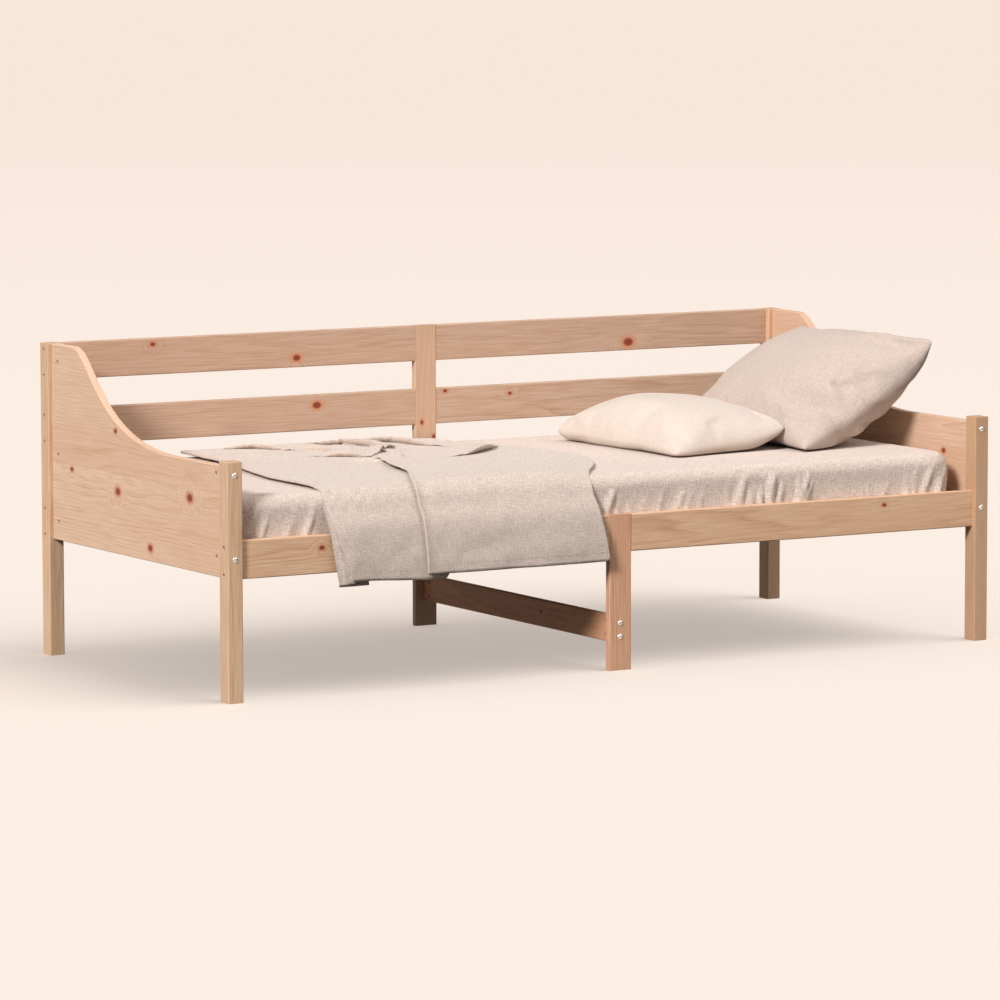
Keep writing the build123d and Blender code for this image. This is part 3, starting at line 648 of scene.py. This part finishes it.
# Creases of the crumpled end: stops on the mattress in metres, height, width of the
# steep and of the gentle side, and how far the crest leans over for its height
THROW_CREASES = [
    ([(-0.275, 0.17), (-0.235, 0.30), (-0.262, 0.395), (-0.34, 0.435)],
     0.018, 0.006, 0.032, (-1.1, -2.2)),
    ([(-0.105, 0.24), (-0.145, 0.36), (-0.225, 0.43)], 0.017, 0.006, 0.032, (-1.1, -2.2)),
    ([(-0.455, 0.34), (-0.495, 0.415), (-0.56, 0.435)], 0.013, 0.006, 0.030, (-1.2, -2.4)),
    ([(-0.225, 0.240), (-0.285, 0.205), (-0.335, 0.125)], 0.016, 0.006, 0.028, (0.4, -2.2)),
    ([(-0.375, 0.100), (-0.41, 0.135), (-0.45, 0.150)], 0.013, 0.006, 0.024, (-0.9, -2.2)),
    ([(-0.020, 0.110), (-0.100, 0.055), (-0.175, -0.010)], 0.018, 0.005, 0.034, (1.0, -2.0)),
    ([(-0.55, 0.16), (-0.60, 0.25), (-0.62, 0.38)], 0.007, 0.014, 0.040, (0.0, 0.0)),
    ([(-0.40, 0.19), (-0.37, 0.26), (-0.41, 0.34)], 0.012, 0.008, 0.028, (-1.2, -1.4)),
    ([(0.00, 0.18), (-0.03, 0.29), (-0.08, 0.41)], 0.006, 0.014, 0.034, (0.0, 0.0)),
    ([(-0.36, -0.05), (-0.41, 0.00), (-0.47, 0.03)], 0.007, 0.009, 0.026, (-0.3, -0.5)),
    ([(-0.20, 0.28), (-0.19, 0.20), (-0.13, 0.15)], 0.010, 0.008, 0.026, (-0.6, -1.4)),
    ([(-0.350, -0.020), (-0.318, 0.030), (-0.300, 0.085)], 0.010, 0.034, 0.014, (0.5, -0.3)),
]
# Hollows between the loops: middle, half widths, depth
THROW_HOLLOWS = [
    (-0.255, 0.020, 0.026, 0.020, 0.0040),
    (-0.330, 0.380, 0.030, 0.014, 0.0050),
]


def throw_creases(x, run):
    """Height of the loose creases and how far their crests lean over, in x and y."""
    y = np.interp(run, THROW_STEPS, THROW_LINE[:, 0])
    flat_part = 1 - smooth_step(run, EDGE_RUN - 0.10, EDGE_RUN + 0.02)
    height = np.zeros(np.shape(x))
    lean = np.zeros(np.shape(x) + (3,))
    for stops, tall, steep, gentle, tip in THROW_CREASES:
        rise = ridge(x, y, stops, tall, steep, gentle) * flat_part
        height = np.maximum(height, rise) + 0.25 * np.minimum(height, rise)
        rolled = np.sqrt(rise * tall)
        lean[..., 0] += rolled * tip[0]
        lean[..., 1] += rolled * tip[1]
    for place, level, half_x, half_y, deep in THROW_HOLLOWS:
        reach = ((x - place) / half_x) ** 2 + ((y - level) / half_y) ** 2
        height = height - deep * np.exp(-(reach ** 2)) * flat_part
    return height, lean


def throw_height(x, run, calm=1.0):
    """How far a layer of the throw stands off its line; calm flattens its creases."""
    y = np.interp(run, THROW_STEPS, THROW_LINE[:, 0])
    crumple = smooth_step(y, -0.12, 0.22)
    height = 0.0030 * (1 + wander(x, run, 0.17, 4.0))
    height = height + 0.0026 * (1 + wander(x, run, 0.07, 8.0)) * (0.25 + 0.75 * crumple)
    height = np.maximum(height + throw_creases(x, run)[0], -0.0005) * calm
    hang = smooth_step(run, EDGE_RUN + 0.02, THROW_RUN)
    flute = 1 + wander(x, 0 * x, 0.085, 6.0) + 0.35 * wander(x + 0.2 * run, run, 0.05, 2.0)
    height = height + 0.0072 * hang * np.clip(flute, 0, 2)
    return height * (1 - 0.55 * smooth_step(run, EDGE_RUN - 0.02, EDGE_RUN + 0.06) * (1 - hang))


def edge_line(run, stops, passes):
    """A fold or free edge of the throw: x at each run, smooth through (run, x) stops."""
    line = np.interp(run, *zip(*stops))
    for _ in range(passes):
        line[1:-1] = (line[:-2] + line[1:-1] + line[2:]) / 3
    return line


CRUMPLED_RUN = 0.62
UNDER_COLUMNS, TURN_COLUMNS, UPPER_COLUMNS = 10, 5, 118
UNDER_WIDTH, LOWER_WIDTH, UPPER_WIDTH = 0.11, 0.74, 0.50
LEFT_TURN_STEP, RIGHT_TURN_STEP = 0.005, 0.004
PLY_LIFT = 0.0008


def make_throw():
    """A linen throw folded back on itself twice, then laid over the bed's edge."""
    run = np.concatenate([np.linspace(0.0, CRUMPLED_RUN, 140),
                          np.linspace(CRUMPLED_RUN, THROW_RUN, 62)[1:]])
    rows = len(run)
    down = run / THROW_RUN
    y = np.interp(run, THROW_STEPS, THROW_LINE[:, 0])
    hem = smooth_step(run, EDGE_RUN + 0.06, THROW_RUN)

    # Where the folds and the free edges lie, back to front
    left = edge_line(run, [(0.0, -0.680), (0.30, -0.694), (0.39, -0.720), (0.57, -0.750),
                           (0.80, -0.757), (EDGE_RUN + 0.06, -0.780), (THROW_RUN, -0.751)], 14)
    right = edge_line(run, [(0.0, 0.000), (0.15, 0.055), (0.30, 0.100), (0.45, 0.122),
                            (0.58, 0.106), (0.70, 0.050), (0.80, -0.018),
                            (EDGE_RUN + 0.03, -0.092), (EDGE_RUN + 0.11, -0.066),
                            (THROW_RUN, -0.047)], 60)
    free = edge_line(run, [(0.0, -0.26), (0.14, -0.29), (0.24, -0.35), (0.34, -0.40),
                           (0.45, -0.386), (0.56, -0.428), (0.68, -0.455), (0.80, -0.500),
                           (EDGE_RUN + 0.03, -0.553), (EDGE_RUN + 0.08, -0.536),
                           (THROW_RUN, -0.534)], 45)
    left_upper = (left + 0.012 * smooth_step(run, EDGE_RUN, THROW_RUN - 0.06)
                  + 0.014 * smooth_step(run, THROW_RUN - 0.10, THROW_RUN))

    lower_shares = np.concatenate([np.linspace(0, 0.46, 56), np.linspace(0.46, 1, 24)[1:]])
    loose = smooth_step(run, EDGE_RUN - 0.02, EDGE_RUN + 0.10)
    lower_gap = 0.0034 + 0.0045 * hem
    upper_gap = 0.0036
    layers = []

    def near_fold(x):
        return 0.15 + 0.85 * smooth_step(right - x, 0.0, 0.12)

    def gap(x, wide):
        return wide * (1 - 0.6 * (1 - smooth_step(right - x, 0.0, 0.08)) * (1 - loose))

    def column(x, rise, end_short, cloth_width, leaning):
        length = run - end_short * down
        lean = throw_creases(x, length)[1] * np.asarray(leaning)[..., None]
        layers.append((throw_place(x, length, rise) + lean, cloth_width))

    def lower_rise(x):
        covered = smooth_step(x - free, 0.0, 0.05)
        calm = near_fold(x) * (1 - 0.65 * covered)
        return throw_height(x, run, calm) + gap(x, lower_gap) + PLY_LIFT, calm

    def upper_rise(x):
        puff = 0.0016 * (1 + wander(x, run, 0.12, 21.0)) + 0.0012 * (1 + wander(x, run, 0.05, 22.0))
        lip = 0.0050 * np.exp(-((x - free) / 0.012) ** 2) * smooth_step(-y, 0.0, 0.10)
        spread = (upper_gap + puff * near_fold(x)) * (0.30 + 0.70 * smooth_step(-y, -0.10, 0.10))
        return throw_height(x, run, near_fold(x)) + gap(x, lower_gap + spread) + lip, near_fold(x)

    width = 0.0
    strip = UNDER_WIDTH - 0.033 * hem
    for share in np.linspace(1, 0, UNDER_COLUMNS):
        x = left + strip * share
        column(x, throw_height(x, run) * 0.55 + PLY_LIFT, 0.0, width, 0.55)
        width += UNDER_WIDTH / (UNDER_COLUMNS - 1)
    for share in np.arange(1, TURN_COLUMNS) / TURN_COLUMNS:
        tucked_in = 0.026 * loose - 0.004 * (1 - loose)
        x = left + (left_upper - left) * share + tucked_in * math.sin(math.pi * share)
        rise = throw_height(x, run) * (0.55 + 0.45 * share) + PLY_LIFT + lower_gap * share
        column(x, rise, hem * 0.012 * share, width, 0.55 + 0.45 * share)
        width += LEFT_TURN_STEP
    for share in lower_shares:
        x = left_upper + (right - left_upper) * share
        rise, leaning = lower_rise(x)
        longer = smooth_step(x - left_upper, 0.0, 0.22)
        tucked = smooth_step(x - free, 0.055, 0.075)
        end_short = hem * (0.012 - 0.008 * longer + 0.024 * tucked)
        column(x, rise, end_short, width + LOWER_WIDTH * share, leaning)
    width += LOWER_WIDTH
    low_rise, leaning = lower_rise(right)
    for share in np.arange(1, TURN_COLUMNS) / TURN_COLUMNS:
        x = right + 0.0055 * math.sin(math.pi * share)
        rise = low_rise + (upper_rise(right)[0] - low_rise) * (1 - math.cos(math.pi * share)) / 2
        column(x, rise, hem * (0.028 - 0.012 * share), width, leaning)
        width += RIGHT_TURN_STEP
    for share in np.linspace(0, 1, UPPER_COLUMNS):
        x = right + (free - right) * share
        rise, leaning = upper_rise(x)
        column(x, rise, hem * 0.016, width, leaning)
        width += UPPER_WIDTH / (UPPER_COLUMNS - 1)

    points = np.array([places for places, _ in layers])
    cloth = np.array([np.stack([np.full(rows, place), run], -1) for _, place in layers])
    quads = grid_faces(len(layers), rows)
    throw = piece_from("throw_folded", points.reshape(-1, 3), quads,
                       cloths["brushed_linen_throw"], cloth.reshape(-1, 2))
    thick = throw.modifiers.new("cloth_thickness", "SOLIDIFY")
    thick.thickness = 0.0016
    thick.offset = 0.0
    fit_to_bed(throw, "linen_grey", "throw_blanket")

    # Lines for the hem's stitches: on the lower layer where it shows, and on the upper
    first_lower = UNDER_COLUMNS + TURN_COLUMNS - 1
    first_upper = len(layers) - UPPER_COLUMNS
    in_front = np.array([0.0, -0.0012, 0.0])
    hem_lines = [points[first_lower:first_lower + 33, -4] + in_front,
                 points[first_upper:-2, -4] + in_front]
    return throw, hem_lines, width


# --- pillows ----------------------------------------------------------------

FILLING = {
    "quality": 6, "mass": 0.35, "tension_stiffness": 25, "compression_stiffness": 18,
    "shear_stiffness": 6, "bending_stiffness": 0.35, "tension_damping": 12,
    "compression_damping": 12, "use_pressure": True, "uniform_pressure_force": 4.0,
}
FILLING_FRAMES = 24


def stuffed_case(name, width, length, thick, cell, material, seed):
    """Two panels sewn together round their edge and filled by cloth pressure.

    Returns the piece, its grid from -1 to 1 across (a) and along (b), which of the
    grid's points are on the seam, and the wrinkles of the upper and lower panel.
    """
    rows, columns = int(round(width / cell)) + 1, int(round(length / cell)) + 1
    a, b = np.meshgrid(np.linspace(-1, 1, rows), np.linspace(-1, 1, columns), indexing="ij")
    swell = np.clip((1 - a**2) * (1 - b**2), 0, 1) ** 0.5
    x = a * width / 2
    y = b * length / 2
    ruffle = 0.004 * wander(x, y, 0.06, seed) * (1 - np.clip((1 - a**2) * (1 - b**2) * 4, 0, 1))
    upper = np.stack([x, y, swell * thick * 0.32 + ruffle], -1).reshape(-1, 3)
    lower = np.stack([x, y, -swell * thick * 0.32 + ruffle], -1).reshape(-1, 3)
    cloth = np.stack([x, y], -1).reshape(-1, 2)
    rim = ((np.abs(a) > 0.9999) | (np.abs(b) > 0.9999)).ravel()
    count = rows * columns
    below = np.arange(count)
    below[~rim] = count + np.arange((~rim).sum())
    quads = grid_faces(rows, columns)
    points = np.concatenate([upper, lower[~rim]])
    faces = np.concatenate([quads, below[quads][:, ::-1]])
    pillow = piece_from(name, points, faces, material, np.concatenate([cloth, cloth[~rim] + 2.0]))
    fill = pillow.modifiers.new("filling", "CLOTH")
    for setting, value in FILLING.items():
        setattr(fill.settings, setting, value)
    fill.settings.effector_weights.gravity = 0.0
    for moment in range(1, FILLING_FRAMES + 1):
        bpy.context.scene.frame_set(moment)
    baked(pillow)
    bpy.context.scene.frame_set(1)
    found = np.zeros(len(pillow.data.vertices) * 3)
    pillow.data.vertices.foreach_get("co", found)
    found = found.reshape(-1, 3)
    wanted = np.array([width, length, thick])
    found *= wanted / (found.max(0) - found.min(0))
    found -= (found.max(0) + found.min(0)) / 2

    # What the filled cloth adds to its own smoothed shape: the wrinkles
    still = (1 - np.abs(a) ** 12) * (1 - np.abs(b) ** 12)
    wrinkles = []
    for index in (np.arange(count), below):
        sheet = found[index].reshape(rows, columns, 3)
        soft = sheet.copy()
        for _ in range(60):
            soft[1:-1, 1:-1] = (soft[:-2, 1:-1] + soft[2:, 1:-1] + soft[1:-1, :-2]
                                + soft[1:-1, 2:]) / 4
        wrinkles.append((sheet - soft) * still[..., None])
    return pillow, a, b, rim, wrinkles


def plump_case(a, b, wrinkles, corners, drawn, ear, sag, over, under, power, crinkle):
    """Shape a filled case between its four seam corners.

    corners are foot-near, foot-far, head-near and head-far; drawn is how far the
    sides are pulled in and ear how much each corner is blunted, sag lets the near
    seam hang, over and under are the depths of filling on both sides of the seam,
    power shapes the filling's roundness and crinkle scales the wrinkles.
    """
    foot_near, foot_far, head_near, head_far = (np.array(corner) for corner in corners)
    u, v = (a[..., None] + 1) / 2, (b[..., None] + 1) / 2
    seam = ((1 - u) * (1 - v) * foot_near + (1 - u) * v * foot_far
            + u * (1 - v) * head_near + u * v * head_far)
    along = (head_near + head_far - foot_near - foot_far) / 2
    along /= np.linalg.norm(along)
    across = np.array([0.0, 1.0, 0.0])
    out = np.cross(along, across)
    out /= np.linalg.norm(out)
    seam = seam - along * (drawn * a * (1 - b**2))[..., None]
    seam = seam - across * (drawn * 0.8 * b * (1 - a**2))[..., None]
    seam = seam - out * (sag * (1 - a**2) * (1 + 0.8 * a) * np.clip(-b, 0, 1) ** 2)[..., None]
    blunt = ear * np.abs(a * b) ** 9
    seam = seam - along * (blunt * a)[..., None] - across * (blunt * b)[..., None]
    full = np.clip((1 - np.abs(a) ** power[0]) * (1 - np.abs(b) ** power[1]), 0, 1) ** power[2]
    frame_axes = np.stack([along, across, out])
    upper = seam + out * (full * over)[..., None] + wrinkles[0] @ frame_axes * crinkle
    lower = seam - out * (full * under)[..., None] + wrinkles[1] @ frame_axes * crinkle
    return upper, lower, out


def eased(values, limit, give):
    """Ease values that would pass a limit so that they flatten against it."""
    over = np.maximum(values - (limit - give), 0)
    return np.where(over > 0, limit - give * np.exp(-over / give), values)


def creased(x, y, creases):
    """All of a panel's creases together."""
    return sum(ridge(x, y, *crease) for crease in creases)[..., None]


def lay_pillow(pillow, rim, upper, lower, give, slot, node, wall=None):
    """Press both panels against what they rest on, smooth them once and place them."""
    world = np.concatenate([upper.reshape(-1, 3), lower.reshape(-1, 3)[~rim]])
    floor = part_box("fitted_sheet")[1].z + PILLOW_GAP
    world[:, 2] = -eased(-world[:, 2], -floor, give)
    if wall is not None:
        world[:, 0] = eased(world[:, 0], wall - PILLOW_GAP, give)
    pillow.data.vertices.foreach_set("co", world.ravel())
    pillow.data.update()
    soft = pillow.modifiers.new("softening", "SUBSURF")
    soft.levels = 1
    soft.render_levels = 1
    fit_to_bed(pillow, slot, node)


PILLOW_GAP = 0.003
# Creases: stops on the flat case in metres, depth, width of the left and right side.
# They lie where each case folds towards its near end.
LARGE_UPPER_CREASES = [
    ([(-0.128, -0.120), (-0.112, -0.216), (-0.100, -0.272), (-0.078, -0.300)], 0.034, 0.034, 0.011),
    ([(-0.010, -0.200), (-0.035, -0.258), (-0.058, -0.298)], 0.016, 0.022, 0.010),
    ([(0.070, -0.215), (0.032, -0.262), (0.000, -0.298)], 0.014, 0.020, 0.010),
    ([(-0.190, -0.190), (-0.172, -0.245), (-0.172, -0.292)], 0.013, 0.022, 0.011),
    ([(0.140, -0.190), (0.165, -0.258), (0.198, -0.288)], 0.013, 0.024, 0.011),
]
LARGE_LOWER_CREASES = [
    ([(-0.075, -0.298), (-0.035, -0.262), (0.010, -0.225)], 0.018, 0.011, 0.020),
    ([(-0.010, -0.298), (0.030, -0.268), (0.080, -0.240)], 0.016, 0.011, 0.018),
    ([(-0.135, -0.298), (-0.115, -0.255), (-0.070, -0.215)], 0.016, 0.011, 0.020),
    ([(0.060, -0.298), (0.095, -0.272), (0.140, -0.250)], 0.012, 0.011, 0.018),
]
SMALL_UPPER_CREASES = [
    ([(0.100, -0.170), (0.118, -0.215), (0.120, -0.262)], 0.007, 0.008, 0.018),
    ([(-0.110, -0.185), (-0.120, -0.225), (-0.116, -0.262)], 0.006, 0.008, 0.018),
    ([(0.040, -0.225), (0.050, -0.262)], 0.005, 0.008, 0.016),
]


def make_large_pillow():
    """The large linen pillow, leaning up against the right side panel."""
    low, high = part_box("pillow_large")
    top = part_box("fitted_sheet")[1].z
    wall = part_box("side_panel_right")[0].x
    width, length = 0.47, 0.60
    pillow, a, b, rim, wrinkles = stuffed_case(
        "pillow_large_case", width, length, 0.20, 0.0095, cloths["washed_linen_pillowcase"], 3.0)
    corners = [
        (wall - 0.368, low.y + 0.018, top + 0.006), (wall - 0.392, high.y - 0.020, top + 0.010),
        (wall + 0.004, low.y - 0.002, top + 0.264), (wall - 0.004, high.y - 0.004, top + 0.249),
    ]
    upper, lower, out = plump_case(
        a, b, wrinkles, corners, drawn=0.022, ear=0.003, sag=0.026, over=0.100, under=0.125,
        power=(2.2, 3.2, 0.58), crinkle=1.0)
    x, y = a * width / 2, b * length / 2
    upper = upper - out * creased(x, y, LARGE_UPPER_CREASES)
    lower = lower + out * creased(x, y, LARGE_LOWER_CREASES)
    lay_pillow(pillow, rim, upper, lower, 0.008, "linen_grey", "pillow_large", wall)


def make_small_pillow():
    """The cream cotton pillow, lying in front of the large one."""
    low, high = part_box("pillow_small")
    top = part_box("fitted_sheet")[1].z
    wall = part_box("side_panel_right")[0].x
    width, length = 0.345, 0.56
    pillow, a, b, rim, wrinkles = stuffed_case(
        "pillow_small_case", width, length, 0.13, 0.0115, cloths["cream_cotton_percale"], 8.0)
    corners = [
        (wall - 0.707, low.y + 0.012, top + 0.008), (wall - 0.745, high.y - 0.062, top + 0.024),
        (wall - 0.352, low.y + 0.050, top + 0.056), (wall - 0.359, high.y - 0.040, top + 0.052),
    ]
    upper, lower, out = plump_case(
        a, b, wrinkles, corners, drawn=0.014, ear=0.011, sag=0.010, over=0.100, under=0.075,
        power=(2.2, 2.4, 0.54), crinkle=0.7)
    crown_towards_foot = 0.028 * a * (1 - a**2) * (1 - b**2)
    upper = upper - out * crown_towards_foot[..., None]
    x, y = a * width / 2, b * length / 2
    upper = upper - out * creased(x, y, SMALL_UPPER_CREASES)
    lay_pillow(pillow, rim, upper, lower, 0.006, "cotton_cream", "pillow_small")


# --- stitches and staples ---------------------------------------------------

def stitch_tree():
    """Geometry nodes: even stitches along a line, each a short rounded thread."""
    tree = bpy.data.node_groups.new("stitch_row", "GeometryNodeTree")
    face = tree.interface
    face.new_socket("Line", in_out="INPUT", socket_type="NodeSocketGeometry")
    for name in ("Pitch", "Stitch Length", "Thread Width", "Thread Height"):
        face.new_socket(name, in_out="INPUT", socket_type="NodeSocketFloat")
    face.new_socket("Thread", in_out="INPUT", socket_type="NodeSocketMaterial")
    face.new_socket("Stitches", in_out="OUTPUT", socket_type="NodeSocketGeometry")
    given = add(tree, "NodeGroupInput").outputs
    curve = add(tree, "GeometryNodeMeshToCurve", {"Mesh": given["Line"]})
    even = add(tree, "GeometryNodeResampleCurve",
               {"Curve": curve, "Length": given["Pitch"]}, mode="LENGTH")
    ball = add(tree, "GeometryNodeMeshUVSphere", {"Segments": 6, "Rings": 4, "Radius": 0.5})
    size = add(tree, "ShaderNodeCombineXYZ",
               {0: given["Thread Width"], 1: given["Thread Height"], 2: given["Stitch Length"]})
    way = add(tree, "GeometryNodeInputTangent")
    turn = add(tree, "FunctionNodeAlignRotationToVector", {"Vector": way}, axis="Z")
    laid = add(tree, "GeometryNodeInstanceOnPoints",
               {"Points": even, "Instance": ball,
                "Rotation": turn, "Scale": size})
    real = add(tree, "GeometryNodeRealizeInstances", {0: laid})
    dyed = add(tree, "GeometryNodeSetMaterial", {"Geometry": real, "Material": given["Thread"]})
    add(tree, "NodeGroupOutput", {0: dyed})
    return tree


def stitched(name, tree, rows, slot, values):
    """A piece of stitches along several lines of points."""
    points, edges = [], []
    for row in rows:
        first = len(points)
        points += [tuple(p) for p in row]
        edges += [(place, place + 1) for place in range(first, len(points) - 1)]
    mesh = bpy.data.meshes.new(name)
    mesh.from_pydata(points, edges, [])
    piece = placed(name, mesh)
    row_maker = piece.modifiers.new("stitches", "NODES")
    row_maker.node_group = tree
    for item in tree.interface.items_tree:
        if item.name in values:
            row_maker[item.identifier] = values[item.name]
    baked(piece)
    fit_to_bed(piece, slot)
    return piece


def make_staples(tree, metal):
    """Two staples hold each tape under every slat."""
    slats = [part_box(f"slat_{number:02d}") for number in range(1, 15)]
    staples = []
    for node in ("slat_tape_front", "slat_tape_back"):
        tape_low, tape_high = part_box(node)
        middle = (tape_low.y + tape_high.y) / 2
        for slat_low, slat_high in slats:
            for shift in (-0.012, 0.012):
                x = (slat_low.x + slat_high.x) / 2 + shift
                staples.append([(x, middle - 0.004, tape_low.z), (x, middle + 0.004, tape_low.z)])
    stitched("slat_tape_staples", tree, staples, "zinc_steel", {
        "Pitch": 0.0079, "Stitch Length": 0.010, "Thread Width": 0.0011,
        "Thread Height": 0.0007, "Thread": metal,
    })


# --- floor, light and camera ------------------------------------------------

FLOOR_GLOW = 0.60
KEY_STRENGTH = 3.4
SOFT_STRENGTH = 1.35
SKY_STRENGTH = 0.34
UNDER_FLOOR = -0.0004


def pale_floor():
    """A wide, level studio floor with a painted pool of light: its paint is paler round the bed."""
    reach, rings, spokes = 170.0, 14, 48
    points = [(0.0, 0.0, UNDER_FLOOR)]
    for ring in range(1, rings + 1):
        radius = reach * (ring / rings) ** 3
        for spoke in range(spokes):
            turn = 2 * math.pi * spoke / spokes
            points.append((radius * math.cos(turn), radius * math.sin(turn), UNDER_FLOOR))
    faces = [(0, 1 + spoke, 1 + (spoke + 1) % spokes) for spoke in range(spokes)]
    for ring in range(rings - 1):
        first = 1 + ring * spokes
        for spoke in range(spokes):
            following = (spoke + 1) % spokes
            faces.append((first + spoke, first + spokes + spoke,
                          first + spokes + following, first + following))
    material, tree, shader = new_material("painted_studio_floor", Roughness=0.95,
                                          Specular_IOR_Level=0.0, Emission_Strength=FLOOR_GLOW)
    here = add(tree, "ShaderNodeTexCoord").outputs["Object"]
    away = add(tree, "ShaderNodeVectorMath", {0: here}, operation="LENGTH").outputs["Value"]
    # Painted pool of light: paler paint near the middle, fading to darker paint far away
    painted_light_pool = add(tree, "ShaderNodeMapRange", {0: away, 1: 2.0, 2: 30.0},
               interpolation_type="SMOOTHSTEP")
    paint = add(tree, "ShaderNodeMix", {0: painted_light_pool, 6: linear("e1d7cf"), 7: linear("ddcfc7")},
                data_type="RGBA").outputs[2]
    tree.links.new(paint, shader.inputs["Base Color"])
    tree.links.new(paint, shader.inputs["Emission Color"])
    mesh = bpy.data.meshes.new("studio_floor")
    mesh.from_pydata(points, [], faces)
    mesh.materials.append(material)
    floor = placed("studio_floor", mesh)
    floor.visible_diffuse = False
    return floor


def sun(name, toward, strength, width):
    """A broad, even studio light that shines from one direction."""
    lamp = bpy.data.lights.new(name, "SUN")
    lamp.energy = strength
    lamp.angle = math.radians(width)
    lamp.color = (1.0, 0.985, 0.97)
    light = placed(name, lamp)
    light.rotation_euler = Vector(toward).to_track_quat("Z", "Y").to_euler()
    return light


def studio_light(floor):
    """A key from the left, a high soft light in front and a dim even sky.

    The key skips the floor, so the only shadow there is the soft light's.
    """
    key = sun("key_from_left", (-0.73, -0.40, 0.54), KEY_STRENGTH, 14)
    sun("high_front", (0.42, -0.36, 0.83), SOFT_STRENGTH, 50)
    lit = bpy.data.collections.new("not_lit_by_key")
    lit.objects.link(floor)
    key.light_linking.receiver_collection = lit
    lit.collection_objects[0].light_linking.link_state = "EXCLUDE"
    world = bpy.data.worlds.new("studio")
    bpy.context.scene.world = world
    world.use_nodes = True
    tree = world.node_tree
    tree.nodes.clear()
    way = add(tree, "ShaderNodeTexCoord").outputs["Generated"]
    height = add(tree, "ShaderNodeSeparateXYZ", {0: way}).outputs["Z"]
    above = add(tree, "ShaderNodeMapRange", {0: height, 1: -0.02, 2: 0.02, 3: 0.12, 4: 1.0})
    glow = add(tree, "ShaderNodeMath", {0: above, 1: SKY_STRENGTH}, operation="MULTIPLY")
    sky = add(tree, "ShaderNodeBackground", {0: linear("fff6ee"), 1: glow})
    seen = add(tree, "ShaderNodeBackground", {0: linear("f6e5da"), 1: 1.0})
    path = add(tree, "ShaderNodeLightPath").outputs["Is Camera Ray"]
    both = add(tree, "ShaderNodeMixShader", {0: path, 1: sky, 2: seen})
    add(tree, "ShaderNodeOutputWorld", {0: both})


def camera():
    """A long lens, well back, to the left of the bed and a little above it."""
    yaw, pitch, roll = (math.radians(angle) for angle in (30.28, 6.375, -0.089))
    ahead = Vector((math.sin(yaw) * math.cos(pitch), math.cos(yaw) * math.cos(pitch),
                    -math.sin(pitch)))
    right = Vector((math.cos(yaw), -math.sin(yaw), 0.0))
    up = right.cross(ahead)
    across = right * math.cos(roll) + up * math.sin(roll)
    upward = up * math.cos(roll) - right * math.sin(roll)
    lens = bpy.data.cameras.new("camera")
    lens.lens = 201.7
    lens.sensor_width = 36.0
    lens.clip_end = 400.0
    eye = placed("camera", lens)
    turn = Matrix((across, upward, -ahead)).transposed().to_4x4()
    eye.matrix_world = Matrix.Translation((-6.772, -11.510, 1.847)) @ turn
    bpy.context.scene.camera = eye


# --- the whole bed ----------------------------------------------------------

camera()
studio_light(pale_floor())
bpy.context.scene.view_settings.view_transform = "Standard"

finish_timber()
zinc = plated_metal("zinc_plated_steel", "b9bcbd", 0.36, 0.003)
HARDWARE = [
    (plated_metal("bright_nickel_plate", "e6e1d8", 0.20, 0.004),
     ("front_post_bolts", "back_post_bolts", "stretcher_bolts")),
    (zinc, ("panel_barrel_nuts", "stretcher_barrel_nuts", "rail_screws", "ledger_screws",
            "slat_screws", "plate_screws", "joint_plates")),
    (turned_beech("turned_beech"), ("rail_dowels",)),
    (woven_tape("polyester_webbing"), ("slat_tape_front", "slat_tape_back")),
]
for finish, nodes in HARDWARE:
    for node in nodes:
        dress(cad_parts[node], finish)

make_mattress()
make_fitted_sheet()
throw, hem_lines, throw_width = make_throw()
make_large_pillow()
make_small_pillow()

rows_of_thread = stitch_tree()
hem_stitches = stitched("throw_hem_stitches", rows_of_thread, hem_lines, "linen_grey", {
    "Pitch": 0.006, "Stitch Length": 0.004, "Thread Width": 0.0010, "Thread Height": 0.0010,
    "Thread": cloths["sewing_thread"],
})
make_staples(rows_of_thread, zinc)
